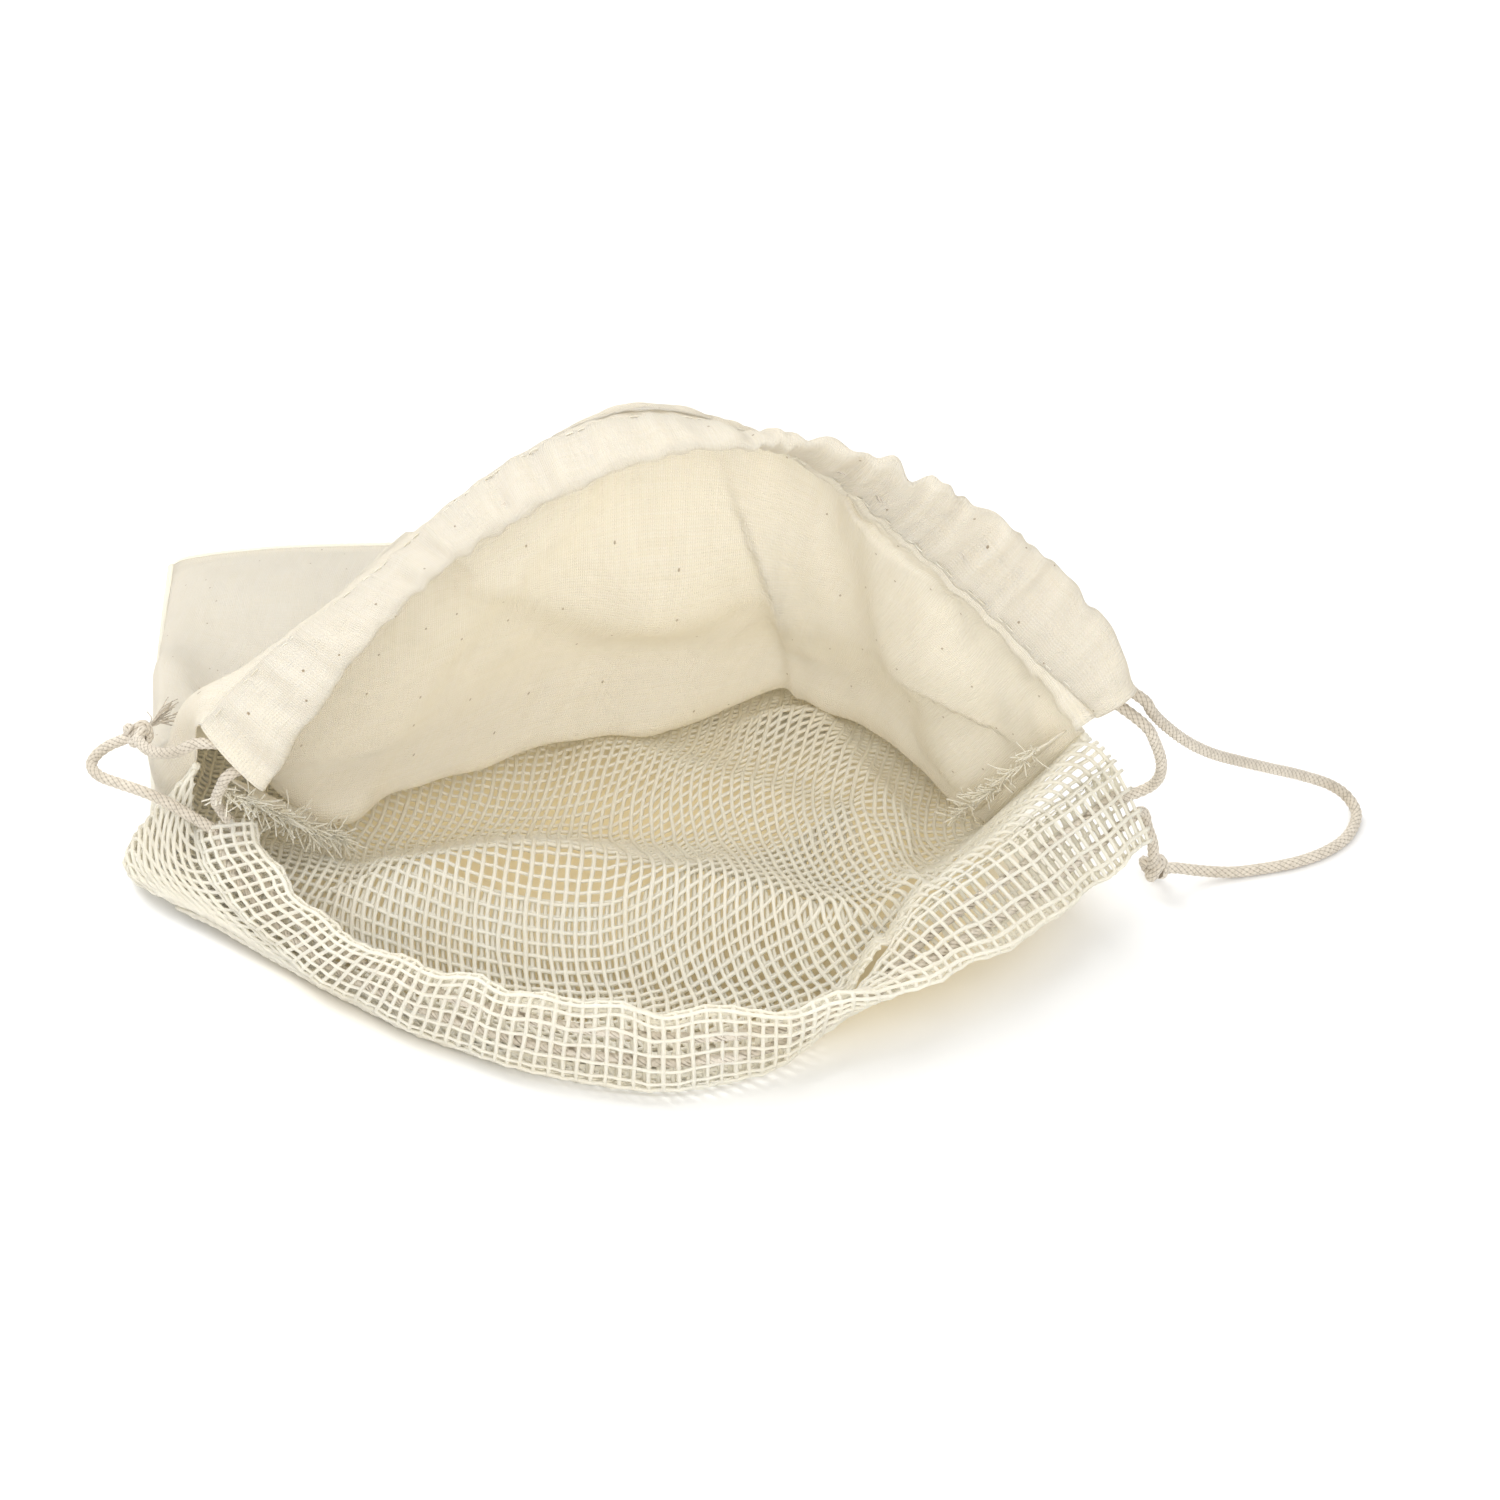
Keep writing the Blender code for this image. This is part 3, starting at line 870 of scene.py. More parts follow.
@dataclass
class Cotton:
    """The cotton panel and its hem."""

    panel: RibbedPanel
    columns: int = 190
    rows: int = 170
    thickness: float = 0.4
    hem_columns: int = 300
    hem_ring: int = 40
    hem_puff: float = 2.5
    seam_height: float = 5.1
    lowest: float = 0.6
    gathers: Gathers = field(default_factory=Gathers)
    folds: list = field(default_factory=lambda: [
        Fold([(-68, 134), (-48, 127.5), (-25, 123), (-12.6, 125.7), (2.5, 131), (20, 126),
              (33, 119), (43, 110)], -6.0, 20.0, 8.0),
        Fold([(16, 89), (13.6, 97), (11.6, 109), (8.8, 122), (5.5, 130)], -6.0, 2.6, 20.0),
        Fold([(59, 75), (51.6, 86), (46.6, 104), (39, 124), (35.8, 139), (28, 154)], -4.5, 5.0, 14.0),
        Fold([(-104, 67), (-80.6, 107), (-60.5, 135), (-41.6, 151)], -3.0, 12.0, 4.0),
        Fold([(-28, 88), (2.5, 124)], -1.5, 4.0, 9.0),
    ])

    def panel_grid(self) -> tuple[Array, Array]:
        """The panel's points and their flat places."""
        places = self.panel.even_places(1.0, self.panel.last_rib - 0.02, self.rows)
        grid = self.panel.across(places, self.columns)
        edge, stitch, outward = self.panel.hem_frame(self.panel.hem_columns(self.columns))
        tucked = stitch + (edge - stitch) * 0.16
        grid = np.concatenate([tucked[None], grid])
        down = run_lengths(grid)
        across = run_lengths(grid, axis=1)
        width = across[:, -1].max()
        flat = np.stack([np.broadcast_to(np.linspace(0, width, self.columns), grid.shape[:2]),
                         np.broadcast_to(down.mean(axis=1)[:, None], grid.shape[:2])], axis=-1)
        hem_run = self.panel.hem_run(self.panel.hem_columns(self.columns))[None, :]
        direction = normals_of(grid)
        turn = smooth_step(4.0, 12.0, down)[..., None]
        direction = unit(outward[None] * (1.0 - turn) + direction * turn)
        hem_lift = self.gathers.lift(hem_run, 1.0) * np.exp(-np.maximum(down - 4.0, 0.0) / 18.0)
        inside = smooth_step(3.0, 16.0, down) * (1.0 - smooth_step(148.0, 162.0, grid[..., 1]))
        push = sum(fold.push(grid) for fold in self.folds) * inside
        calm = smooth_step(0.0, 12.0, across) * smooth_step(0.0, 12.0, across[:, -1:] - across)
        lying = 1.0 - 0.6 * smooth_step(150.0, 190.0, grid[..., 1])
        push = push * calm + calm * lying * smooth_step(3.0, 12.0, down) * (
            0.55 * waves(21, [flat[..., 0], flat[..., 1]], (60.0, 45.0))
            + 0.25 * waves(22, [flat[..., 0], flat[..., 1]], (22.0, 26.0)))
        grid = grid + direction * (push + hem_lift)[..., None]
        grid[..., 2] = to_bottom_seam(grid[..., 2], down[-1:] - down, self.seam_height)
        grid[..., 2] = np.maximum(grid[..., 2], self.lowest)
        return grid, flat

    def hem_section(self, columns: Array) -> tuple[Array, Array]:
        """The hem's rings and their flat places.

        Args:
            columns: Places along the hem.

        Returns:
            The points, ring by ring, and the flat places.
        """
        edge, stitch, outward = self.panel.hem_frame(columns)
        run = self.panel.hem_run(columns)
        inward = unit(edge - stitch)
        sway = 0.7 * waves(31, [run], (13.0,), 4) * (0.5 + 0.5 * smooth_step(90.0, 250.0, run))
        edge = edge + inward * (sway - 0.4)[:, None]
        turn = np.linspace(0.0, 2.0 * math.pi, self.hem_ring + 1)
        share = 0.5 + 0.5 * np.cos(turn)
        puff = np.sign(np.sin(turn)) * self.hem_puff * np.abs(np.sin(turn)) ** 0.7 * (1.0 - 0.35 * share)
        opened = 1.0 + 0.7 * smooth_step(272.0, 300.0, run) + 0.5 * (1.0 - smooth_step(0.0, 22.0, run))
        crease = 0.3 * waves(32, [run[:, None], share[None, :] * 22.0], (9.0, 30.0), 5)
        lift = (self.gathers.lift(run[:, None], share[None, :])
                + puff[None, :] * (opened * (1.0 + 0.25 * waves(33, [run], (15.0,), 3)))[:, None]
                + crease * (1.0 - np.abs(np.cos(turn)))[None, :])
        middle = edge[:, None, :] + (stitch - edge)[:, None, :] * share[None, :, None]
        grid = middle + outward[:, None, :] * lift[..., None]
        flat = np.stack(np.broadcast_arrays(run[:, None], (turn * 7.0)[None, :]), axis=-1)
        return grid, flat

    def build(self, cloth: bpy.types.Material) -> None:
        """Build the panel and the hem."""
        grid, flat = self.panel_grid()
        panel = new_object("cotton_panel_cloth", cloth_mesh("cotton_panel_cloth", grid, flat), cloth)
        solidify(panel, self.thickness)
        dress(panel, ("cotton_panel",), None)
        LOG.info("cotton panel: %d points", grid.shape[0] * grid.shape[1])
        columns = self.panel.hem_columns(self.hem_columns)
        rings, flat = self.hem_section(columns)
        hem = new_object("cotton_hem_cloth",
                         cloth_mesh("cotton_hem_cloth", rings, flat, rolled=True), cloth)
        solidify(hem, self.thickness, -1.0)
        dress(hem, ("cotton_hem",), None)
        LOG.info("cotton hem: %d rings", self.hem_columns)


# ---------------------------------------------------------------------------
# Net.


@dataclass
class Net:
    """The open net: warp yarns from mouth to bottom and weft yarns from seam to seam."""

    panel: RibbedPanel
    warps: int = 88
    pitch: float = 3.3
    warp_radius: float = 0.62
    weft_radius: float = 0.56
    hem_wefts: int = 13
    hem_puff: float = 2.0
    seam_height: float = 3.6
    lowest: float = 0.9
    coarse_from: int = 110
    fold_rows: tuple = (11, 47)
    fold_columns: tuple = (27, 147)
    fold_rise: float = 1.7
    folds: list = field(default_factory=lambda: [
        Fold([(-89, 53), (-70, 57.4), (-48, 58.3), (-23, 54), (-12, 51), (2, 47), (20, 42)],
             4.5, 7.0, 16.0),
        Fold([(-39, 83), (-27, 81), (-14, 77), (1, 72.7), (13, 68), (32, 58.5)], 4.5, 6.0, 12.0),
        Fold([(8, 96.7), (17, 90), (25, 80), (36, 66.5)], 5.0, 5.0, 9.0),
        Fold([(-20, 62), (-60, 70), (-95, 66)], -3.0, 10.0, 10.0),
    ])

    def knots(self) -> Array:
        """The net's half-cell points: rows half a pitch apart, columns half a cell apart."""
        count = 2 * self.warps + 1
        places = self.panel.even_places(1.0, self.panel.last_rib - 0.03, 300)
        grid = self.panel.across(places, count)
        down = run_lengths(grid)
        share = down / down[-1:]
        middle = down[-1, count // 3: 2 * count // 3].mean()
        blend = smooth_step(0.15, 0.75, share)
        reach = down * (1.0 - blend) + share * middle * blend
        reach = reach / reach[-1:] * middle
        wanted = np.arange(0.0, middle, self.pitch / 2.0)
        rows = np.arange(len(places), dtype=float)
        result = np.zeros((len(wanted), count, 3))
        for k in range(count):
            result[:, k] = between(np.interp(wanted, reach[:, k], rows), rows, grid[:, k])
        return result

    def loosened(self, grid: Array, seed: int, folded: bool) -> Array:
        """The points moved a little in the net's own plane, as soft yarns lie.

        Args:
            grid: The net's half-cell points.
            seed: Picks the movement.
            folded: Whether the panel's folds run through the points.

        Returns:
            The moved points.
        """
        rows, columns = grid.shape[:2]
        down, across = np.meshgrid(np.arange(rows) * self.pitch / 2, np.arange(columns) * 1.6,
                                   indexing="ij")
        along_u, along_v = unit(np.gradient(grid, axis=1)), unit(np.gradient(grid, axis=0))
        edge = np.minimum(1.0, np.minimum(across, across[:, -1:] - across) / 10.0)
        shift_u = 0.16 * waves(seed, [down, across], (18.0, 14.0), 6) * edge
        shift_v = 0.16 * waves(seed + 1, [down, across], (14.0, 18.0), 6) * edge
        lift = 0.2 * waves(seed + 2, [down, across], (30.0, 34.0), 5) * edge
        fold = sum(f.push(grid) for f in self.folds) * edge if folded else 0.0
        lift = lift + fold * (1.0 - smooth_step(146.0, 156.0, grid[..., 1]))
        if folded:
            left_to_run = (rows - 1) * self.pitch / 2 - down
            grid = grid.copy()
            grid[..., 2] = to_bottom_seam(grid[..., 2], left_to_run, self.seam_height)
        moved = (grid + along_u * shift_u[..., None] + along_v * shift_v[..., None]
                 + normals_of(grid) * lift[..., None])
        moved[..., 2] = np.maximum(moved[..., 2], self.lowest)
        return moved

    def yarns(self, grid: Array, coarse_from: int) -> list[tuple[Array, Array]]:
        """The yarns through a grid of half-cell points.

        Args:
            grid: The points.
            coarse_from: The row from which the warps keep only one point in a cell.

        Returns:
            Each yarn's points and radii.
        """
        normal = normals_of(grid)
        rng = np.random.default_rng(5)
        rows, columns = grid.shape[:2]
        keep = np.array([r for r in range(rows) if r < coarse_from or r % 2])
        result = []
        for k in range(1, columns, 2):
            thick = self.warp_radius * rng.uniform(0.9, 1.12)
            radii = np.where(keep % 2 == 1, 1.12, 0.9) * thick
            result.append((grid[keep, k] + normal[keep, k] * 0.1, radii))
        for r in range(1, rows, 2):
            picked = np.arange(columns) if r < coarse_from else np.array(
                [0, *range(1, columns, 2), columns - 1])
            thick = self.weft_radius * rng.uniform(0.9, 1.12)
            radii = np.where(picked % 2 == 1, 1.1, 0.95) * thick
            sway = np.where(picked % 4 == 1, 0.22, -0.22) * (picked % 2)
            result.append((grid[r, picked] + normal[r, picked] * (sway - 0.1)[:, None], radii))
        return result

    def doubled(self, grid: Array) -> tuple[Array, Array]:
        """Lay the net double behind the front lip, where its slack is folded under.

        Args:
            grid: The net's half-cell points.

        Returns:
            The points of the lower layer, and all the points with the upper layer raised.
        """
        (first, last), (left, right) = self.fold_rows, self.fold_columns
        rows, columns = np.indices(grid.shape[:2])
        rise = (smooth_step(first - 5, first + 3, rows) * (1.0 - smooth_step(last - 3, last + 5, rows))
                * smooth_step(left - 9, left, columns) * (1.0 - smooth_step(right, right + 9, columns)))
        raised = grid.copy()
        raised[..., 2] += self.fold_rise * rise
        return grid[first:last, left:right], raised

    def hem_grid(self) -> Array:
        """The hem's half-cell points, from the stitch line over the rim and back to it."""
        count = 2 * self.warps + 1
        columns = self.panel.hem_columns(count)
        edge, stitch, outward = self.panel.hem_frame(columns)
        turn = np.linspace(0.0, 2.0 * math.pi, 2 * self.hem_wefts + 1)
        turn = turn + 0.116 * (1.0 - np.cos(turn))  # so that the two layers' cells don't line up
        share = 0.5 + 0.5 * np.cos(turn)
        run = run_lengths(stitch)
        sway = 0.7 * waves(51, [run], (26.0,), 4)
        puff = np.sign(np.sin(turn)) * self.hem_puff * np.abs(np.sin(turn)) ** 0.6
        slack = 0.8 * waves(52, [run], (34.0,), 4)
        lift = puff[:, None] + slack[None, :] * (0.4 + 0.6 * (1 - share))[:, None]
        grid = (edge[None] + (stitch - edge)[None] * share[:, None, None]
                + outward[None] * lift[..., None] + (edge - stitch)[None] / 22.0
                * (sway[None, :, None] * (1 - share)[:, None, None]))
        half_cell = 0.5 * (np.roll(grid, -1, axis=1) - grid)
        half_cell[:, -1] = half_cell[:, -2]
        grid = grid + half_cell * 1.4 * smooth_step(0.3 * math.pi, 1.7 * math.pi, turn)[:, None, None]
        grid[..., 2] = np.maximum(grid[..., 2], self.lowest)
        return grid

    def build(self, yarn: bpy.types.Material) -> None:
        """Build the net panel and the net hem."""
        under, grid = self.doubled(self.loosened(self.knots(), 41, True))
        fold = new_object("net_fold_yarns", yarn_mesh("net_fold_yarns", self.yarns(under, ALL_ROWS)), yarn)
        dress(fold, (), Body.BAG)
        LOG.info("net panel: %d wefts, %d warps", grid.shape[0] // 2, self.warps)
        panel = new_object("net_panel_yarns",
                           yarn_mesh("net_panel_yarns", self.yarns(grid, self.coarse_from)), yarn)
        dress(panel, ("net_panel",), Body.BAG)
        hem_grid = self.loosened(self.hem_grid(), 44, False)
        hem = new_object("net_hem_yarns",
                         yarn_mesh("net_hem_yarns", self.yarns(hem_grid, ALL_ROWS)), yarn)
        dress(hem, ("net_hem",), Body.BAG)
        for obj in (panel, hem, fold):
            LOG.info("%s: %d faces", obj.name, len(obj.data.polygons))


# ---------------------------------------------------------------------------
# Cords.


@dataclass
class Drawcords:
    """Both drawcords: their runs in the hems, their crossings, loops, knots and ends."""

    cotton: RibbedPanel
    net: RibbedPanel
    diameter: float = 3.0
    left_across: float = 0.66
    right_across: float = 0.34
    gathers: Gathers = field(default_factory=Gathers)

    def hem_route(self, panel: RibbedPanel, across: float) -> Array:
        """A cord's route inside a hem.

        Args:
            panel: The panel whose hem it runs through.
            across: Its place across the hem, from the folded edge.

        Returns:
            The route's points.
        """
        columns = np.linspace(0.12, panel.last_column - 0.12, 200)
        edge, stitch, outward = panel.hem_frame(columns)
        route = edge + (stitch - edge) * across
        if panel is self.cotton:
            route = route + outward * self.gathers.lift(panel.hem_run(columns), across)[:, None]
        return route

    def knot_route(self, middle: tuple, radii: tuple) -> Array:
        """The route of a cord through a tight overhand knot.

        Args:
            middle: The knot's middle.
            radii: How far the route reaches from it, along X, Y and Z.

        Returns:
            The route's points.
        """
        turn = np.linspace(0.35, 2.0 * math.pi - 0.35, 40)
        knot = np.stack([np.sin(turn) + 2.0 * np.sin(2.0 * turn),
                         np.cos(turn) - 2.0 * np.cos(2.0 * turn),
                         -2.2 * np.sin(3.0 * turn)], axis=-1) / 3.0
        return np.asarray(middle) + knot * np.asarray(radii)

    def build(self, cord: bpy.types.Material, fray: bpy.types.Material) -> None:
        """Build every stretch of cord."""
        radius = self.diameter / 2
        acrosses = {"left": self.left_across, "right": self.right_across}
        for side, across in acrosses.items():
            for panel, name, share, spacing, ring, body in (
                    (self.cotton, f"{side}_cord_in_cotton_hem", 0.75, 1.2, 12, None),
                    (self.net, f"{side}_cord_in_net_hem", 0.9, 0.8, 14, Body.BAG)):
                mesh = braid_mesh(name, self.hem_route(panel, across), radius * share, spacing, ring)
                dress(new_object(name + "_braid", mesh, cord), (name,), body)
        roots = {(side, hem, end): self.hem_route(panel, across)[at]
                 for side, across in acrosses.items()
                 for hem, panel in (("cotton", self.cotton), ("net", self.net))
                 for end, at in (("left", 2), ("right", -3))}
        for side, end, route in (("left", "right", RIGHT_CROSSING), ("right", "left", LEFT_CROSSING)):
            name = f"{side}_cord_crossing"
            route = [roots[side, "cotton", end], *route, roots[side, "net", end]]
            mesh = braid_mesh(name, np.array(route, float), radius)
            dress(new_object(name + "_braid", mesh, cord), (name,), Body.BAG)

        route = [roots["right", "cotton", "right"], *RIGHT_LOOP, RIGHT_KNOT, *RIGHT_RISER,
                 roots["right", "net", "right"]]
        loop = self.add_loop("right", route, ("right_cord_loop", "right_cord_riser"),
                             cord)
        knot = self.add_knot("right_knot", RIGHT_KNOT, RIGHT_KNOT_RADII, cord, Body.RIGHT_PULL)
        end = new_object("right_cord_end_braid",
                         braid_mesh("right_cord_end", np.array(RIGHT_END, float), radius * 0.95), cord)
        dress(end, ("right_cord_end",), Body.RIGHT_PULL)
        self.declare_cord(loop, route, [knot, end])

        route = [roots["left", "cotton", "left"], *LEFT_LOOP, LEFT_KNOT, *LEFT_RETURN,
                 roots["left", "net", "left"]]
        loop = self.add_loop("left", route, ("left_cord_loop", "left_cord_return"),
                             cord)
        knot = self.add_knot("left_knot", LEFT_KNOT, LEFT_KNOT_RADII, cord, Body.LEFT_PULL)
        self.declare_cord(loop, route, [knot, self.add_tassel(fray)])

    def add_loop(self, side: str, route: list, nodes: tuple[str, str],
                 cord: bpy.types.Material) -> bpy.types.Object:
        """Add a cord's free stretch, between the bag and its pulled knot.

        Args:
            side: The side that it hangs on.
            route: Its points, from the cotton hem to the net hem.
            nodes: The CAD nodes that it replaces.
            cord: The cord's finish.

        Returns:
            The loop.
        """
        name = f"{side}_cord_loop"
        mesh = braid_mesh(name, np.array(route, float), self.diameter / 2)
        loop = new_object(name + "_braid", mesh, cord)
        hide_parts(*nodes)
        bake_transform(loop)
        return loop

    def declare_cord(self, loop: bpy.types.Object, route: list, tied: list) -> None:
        """Log the length of a loop's cord.

        Args:
            loop: The loop.
            route: Its points, from the cotton hem to the net hem.
            tied: The pieces at its knot; not used.
        """
        path = place(even_route(np.array(route, float), 1.0))
        length = float(run_lengths(path)[-1])
        LOG.info("%s: %.0f mm", loop.name, length / MM)

    def add_knot(self, name: str, middle: tuple, radii: tuple, cord: bpy.types.Material,
                 body: Body) -> bpy.types.Object:
        """Add an overhand knot.

        Args:
            name: The CAD node's name.
            middle: The knot's middle.
            radii: How far its route reaches.
            cord: The cord's finish.
            body: The body that it rides on.

        Returns:
            The knot.
        """
        route = self.knot_route(middle, radii)
        obj = new_object(name + "_braid", braid_mesh(name, route, self.diameter / 2 * 0.92), cord)
        dress(obj, (name,), body)
        return obj

    def add_tassel(self, fray: bpy.types.Material) -> bpy.types.Object:
        """Add the frayed cord end behind the left knot."""
        rng = np.random.default_rng(3)
        line = np.array(LEFT_TASSEL, float)
        yarns = []
        for _ in range(34):
            spread = rng.normal(0.0, 1.0, 3)
            points = [line[0] + spread * 0.35, line[1] + spread * 0.9,
                      line[2] + spread * 1.7 + rng.normal(0.0, 0.8, 3)]
            yarns.append((even_route(np.array(points), 0.9), 0.16))
        obj = new_object("left_tassel_frays", yarn_mesh("left_tassel_frays", yarns), fray)
        dress(obj, ("left_tassel",), Body.LEFT_PULL)
        return obj


# ---------------------------------------------------------------------------
# Seams, stitches and frays.


@dataclass
class Seams:
    """The side seams, the bottom seam, the raw allowances and the stitch lines."""

    cotton: RibbedPanel
    net: RibbedPanel
    radius: float = 1.0
    stitch_length: float = 2.6
    stitch_gap: float = 0.7
    thread_radius: float = 0.2
    allowance_width: float = 9.0

    def overlock(self, name: str, line: list, cloth: bpy.types.Material) -> None:
        """A rolled seam wrapped by its overlock thread.

        Args:
            name: The CAD node's name.
            line: The seam's points.
            cloth: Its finish.
        """
        route = even_route(np.array(line, float), 0.9)
        count = np.arange(len(route))
        radii = self.radius * (0.95 + 0.18 * (count % 2))
        obj = new_object(name + "_roll", yarn_mesh(name + "_roll", [(route, radii)], 2), cloth)
        dress(obj, (name,), Body.BAG)

    def allowance(self, name: str, edges: list, cloth: bpy.types.Material) -> None:
        """A raw strip of cloth inside a side seam.

        Args:
            name: The CAD node's name.
            edges: Points along its sewn edge, and points along its raw edge.
            cloth: Its finish.
        """
        rows = [even_route(np.array(line, float), 0.9) for line in edges]
        count = min(len(r) for r in rows)
        rows = [catmull(r, np.linspace(0, len(r) - 1, count)) for r in rows]
        share = np.linspace(0.0, 1.0, 10)[:, None, None]
        grid = rows[0][None] * (1 - share) + rows[1][None] * share
        run = np.arange(count)[None, :] * 0.9
        across = share[:, :, 0] * self.allowance_width
        wave = waves(61, [run, across], (9.0, 20.0), 4) * share[:, :, 0]
        grid = grid + normals_of(grid) * wave[..., None] * 0.9
        flat = np.stack(np.broadcast_arrays(run, across), axis=-1)
        obj = new_object(name + "_cloth", cloth_mesh(name + "_cloth", grid, flat), cloth)
        solidify(obj, 0.5)
        dress(obj, (name,), Body.BAG)

    def frays(self, name: str, line: list, toward: tuple, count: int, reach: float, seed: int,
              yarn: bpy.types.Material) -> None:
        """Loose threads along a raw edge.

        Args:
            name: The piece's name.
            line: The raw edge.
            toward: The direction that the threads mostly point in.
            count: How many threads.
            reach: Their typical length.
            seed: Picks the threads.
            yarn: Their finish.
        """
        rng = np.random.default_rng(seed)
        edge = even_route(np.array(line, float), 0.3)
        yarns = []
        for _ in range(count):
            root = edge[rng.integers(len(edge))] + rng.normal(0.0, 0.4, 3)
            heading = np.asarray(toward, float) + rng.normal(0.0, 0.55, 3)
            heading /= np.linalg.norm(heading)
            bend = rng.normal(0.0, 0.5, 3)
            long = reach * rng.uniform(0.4, 1.3)
            points = np.array([root, root + heading * long * 0.5 + bend * 0.5,
                               root + heading * long + bend * 2.0])
            points[:, 2] = np.maximum(points[:, 2], 1.0)
            yarns.append((even_route(points, 0.8), rng.uniform(0.13, 0.24)))
        obj = new_object(name, yarn_mesh(name, yarns), yarn)
        dress(obj, (), Body.BAG)

    def stitches(self, name: str, panel: RibbedPanel, lift: float, thread: bpy.types.Material,
                 body: Body | None) -> None:
        """A line of lock stitches on both faces of a hem.

        Args:
            name: The CAD node's name.
            panel: The panel whose hem they close.
            lift: How far the thread lies from the cloth's middle.
            thread: The thread's finish.
            body: The body that they ride on, or None, which bakes their place into their mesh.
        """
        edge, stitch, outward = panel.hem_frame(panel.hem_columns(700))
        line = stitch + (edge - stitch) * 0.06
        run = run_lengths(line)
        yarns = []
        step = self.stitch_length + self.stitch_gap
        dip = np.array((-0.5, 0.05, 0.15, 0.05, -0.5))
        for side in (1.0, -1.0):
            surface = line + outward * lift * side
            for start in np.arange(1.0, run[-1] - step, step):
                want = start + self.stitch_length * np.array((0.0, 0.2, 0.5, 0.8, 1.0))
                points, way = between(want, run, surface), between(want, run, outward)
                yarns.append((points + way * dip[:, None] * side, self.thread_radius))
        obj = new_object(name + "_stitches", yarn_mesh(name + "_stitches", yarns), thread)
        dress(obj, (name,), body)

    def build(self, cloth: bpy.types.Material, yarn: bpy.types.Material,
              thread: bpy.types.Material) -> None:
        """Build the seams, the allowances, the frays and the stitches."""
        bottom = [(p[0], p[1], BOTTOM_SEAM_HEIGHT) for p in COTTON_INSIDE[-1]]
        for name, line in (("left_side_seam", LEFT_SEAM), ("right_side_seam", RIGHT_SEAM),
                           ("bottom_seam", [LEFT_SEAM[-1], *bottom, RIGHT_SEAM[-1]])):
            self.overlock(name, line, yarn)
        self.allowance("left_seam_allowance", LEFT_ALLOWANCE, cloth)
        self.allowance("right_seam_allowance", RIGHT_ALLOWANCE, cloth)
        self.frays("left_frays", LEFT_FRINGE, (0.5, -0.7, 0.1), 260, 6.5, 71, yarn)
        self.frays("right_frays", RIGHT_ALLOWANCE[1], (-0.6, -0.6, 0.2), 130, 5.0, 72, yarn)
        self.stitches("cotton_hem_thread", self.cotton, 0.9, thread, None)
        self.stitches("net_hem_thread", self.net, 0.8, thread, Body.BAG)
        LOG.info("seams, allowances and stitches")


# ---------------------------------------------------------------------------
# Studio.


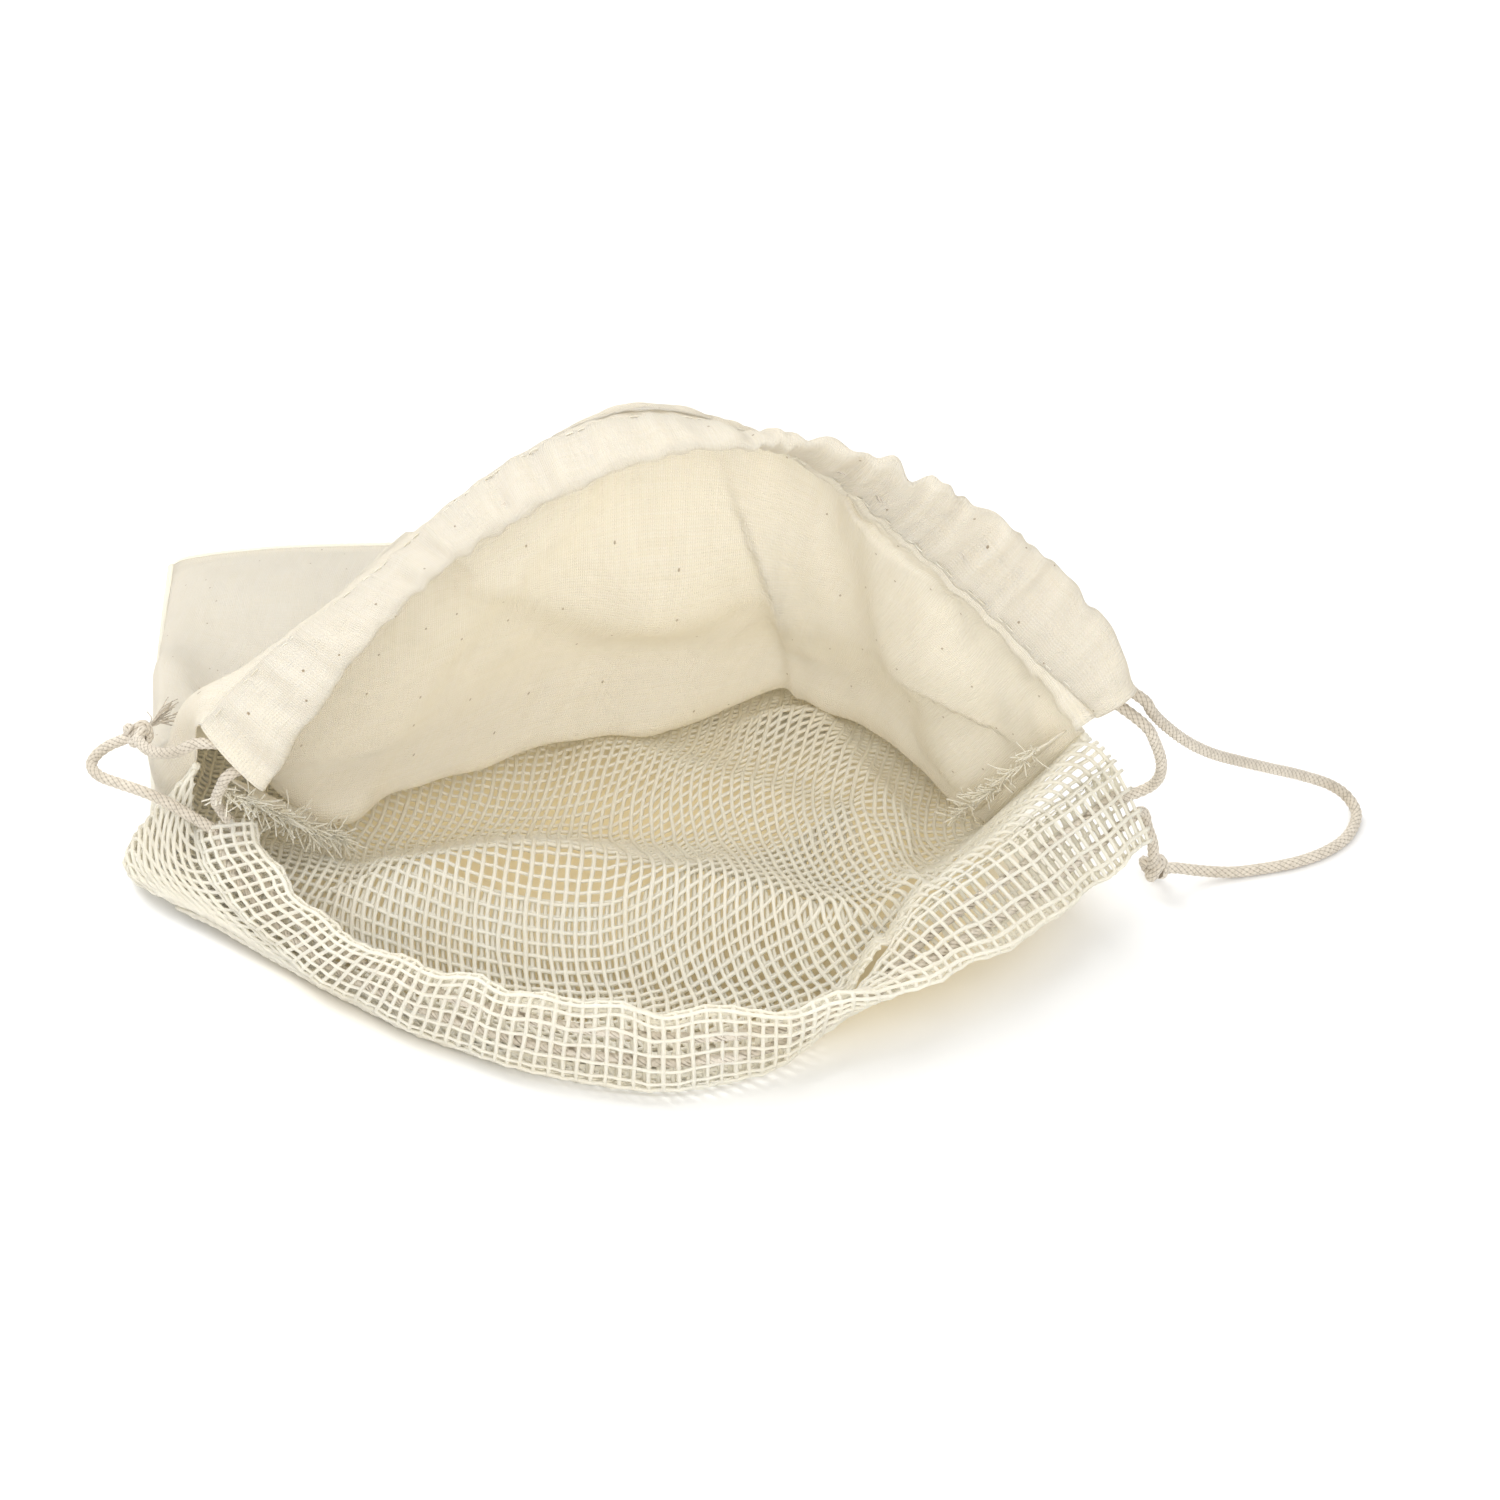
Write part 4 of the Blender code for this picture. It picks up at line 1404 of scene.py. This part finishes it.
@dataclass
class Studio:
    """The pale floor, the soft lights and the camera."""

    target: tuple = (0.0285, -0.0225, 0.043)
    distance: float = 1.6
    elevation: float = 32.0
    lens: float = 153.6
    shift: float = -0.0233
    ambient: float = 0.7
    lights: tuple = (("key_light", (-1.1, 0.9, 1.5), 1.1, 19.0),
                     ("fill_light", (0.15, -1.55, 1.0), 1.0, 13.5),
                     ("top_light", (-0.3, -0.2, 1.9), 1.4, 9.5))
    table_light: str = "#FBFBFB"
    table_shade: str = "#FAFAF9"
    painted_glow_tint: str = "#F7E3B2"
    painted_glow_light: str = "#FBEBC4"
    painted_glow_middle: tuple = (0.004, -0.036, 0.0)  # the middle of the painted warm light and painted glow on the table, under the mouth
    painted_glow_reach: tuple = (0.105, 0.078, 1.0)
    painted_glow_strength: float = 0.26

    def build(self) -> None:
        """Set the stage."""
        bm = bmesh.new()
        bmesh.ops.create_grid(bm, x_segments=8, y_segments=8, size=4.0)
        mesh = bpy.data.meshes.new("table_top")
        bm.to_mesh(mesh)
        bm.free()
        new_object("table_top", mesh, self.table_material())
        for light in self.lights:
            self.add_light(*light)
        world = bpy.data.worlds.new("studio")
        world.use_nodes = True
        background = world.node_tree.nodes["Background"]
        background.inputs["Color"].default_value = (1.0, 1.0, 1.0, 1.0)
        background.inputs["Strength"].default_value = self.ambient
        bpy.context.scene.world = world
        bpy.context.scene.view_settings.view_transform = "Standard"
        bpy.context.scene.view_settings.exposure = 0.0
        self.add_camera()

    def table_material(self) -> bpy.types.Material:
        """The white table, with a painted pool of warm light and a painted glow under the bag's mouth."""
        material, tree = new_material("white_table")
        own = add_node(tree, "ShaderNodeTexCoord").outputs["Object"]
        cloud = add_node(tree, "ShaderNodeTexNoise", {}, {"Vector": own, "Scale": 3.0})
        colour = colour_mix(tree, cloud.outputs["Fac"], linear(self.table_light), linear(self.table_shade))
        spot = add_node(tree, "ShaderNodeMapping", {"vector_type": "TEXTURE"},
                        {"Vector": own, "Location": self.painted_glow_middle, "Scale": self.painted_glow_reach})
        reach = add_node(tree, "ShaderNodeVectorMath", {"operation": "LENGTH"}, {0: spot.outputs[0]})
        # Painted light: a warm tint pooled on the table under the bag's mouth, standing in for light passed
        # on by the cloth.
        glow = remap(tree, reach.outputs["Value"], 0.7, 1.15, 0.75, 0.0, "SMOOTHSTEP")
        colour = colour_mix(tree, glow, colour, linear(self.painted_glow_tint))
        # Painted glow: the table itself shines warm under the mouth, rising towards the back, though no lamp
        # is there.
        back = add_node(tree, "ShaderNodeSeparateXYZ", {}, {0: spot.outputs[0]})
        rise = remap(tree, back.outputs["Y"], -0.5, 0.4, 0.0, self.painted_glow_strength)
        face = add_node(tree, "ShaderNodeBsdfPrincipled", {},
                        {"Base Color": colour, "Roughness": 0.7, "Specular IOR Level": 0.1,
                         "Emission Color": linear(self.painted_glow_light),
                         "Emission Strength": maths(tree, "MULTIPLY", glow, rise)})
        add_node(tree, "ShaderNodeOutputMaterial", {}, {"Surface": face.outputs[0]})
        return material

    def add_light(self, name: str, where: tuple, size: float, energy: float) -> None:
        """Add a square soft light that faces the bag.

        Args:
            name: The light's name.
            where: Its place in metres.
            size: The length of its sides.
            energy: Its power in watts.
        """
        data = bpy.data.lights.new(name, "AREA")
        data.size = size
        data.energy = energy
        obj = bpy.data.objects.new(name, data)
        obj.location = where
        facing = Vector(self.target) - Vector(where)
        obj.rotation_euler = facing.to_track_quat("-Z", "Y").to_euler()
        bpy.context.scene.collection.objects.link(obj)

    def add_camera(self) -> None:
        """Add the camera in front of the bag's mouth."""
        data = bpy.data.cameras.new("camera")
        data.lens = self.lens
        data.sensor_width = 36.0
        data.shift_y = self.shift
        data.clip_end = 50.0
        obj = bpy.data.objects.new("camera", data)
        tilt = math.radians(self.elevation)
        obj.location = Vector(self.target) + self.distance * Vector((0.0, -math.cos(tilt), math.sin(tilt)))
        obj.rotation_euler = (Vector(self.target) - obj.location).to_track_quat("-Z", "Y").to_euler()
        bpy.context.scene.collection.objects.link(obj)
        bpy.context.scene.camera = obj


def main() -> None:
    """Build the bag's looks and the studio round the CAD frame."""
    logging.basicConfig(level=logging.INFO, format="%(name)s: %(message)s")
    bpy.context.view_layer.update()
    cotton = RibbedPanel(COTTON_RIM, COTTON_STITCH, COTTON_INSIDE, end_taper=0.38)
    net = RibbedPanel(NET_RIM, NET_STITCH, NET_INSIDE)
    muslin = Muslin().material()
    net_yarn = SoftYarn("soft_net_yarn", "#FFFDF4", "#FEF8E9").material()
    # The cord's last colour is painted shade between the strands of its braid.
    cord_yarn = SoftYarn("braided_cotton_cord", "#E8DFD0", "#C9BEAC", 0.6, 0.05, 0.15, "#8F8370").material()
    fray = SoftYarn("cord_fray", "#DED4C4", "#B5A996", 0.6, 0.05, 0.25).material()
    thread = SoftYarn("cotton_sewing_thread", "#F8F4E8", "#E5DDC6", 0.4, 0.1, 0.05).material()
    Studio().build()
    Drawcords(cotton, net).build(cord_yarn, fray)
    Net(net).build(net_yarn)
    Cotton(cotton).build(muslin)
    Seams(cotton, net).build(muslin, net_yarn, thread)


if __name__ == "__main__":
    main()
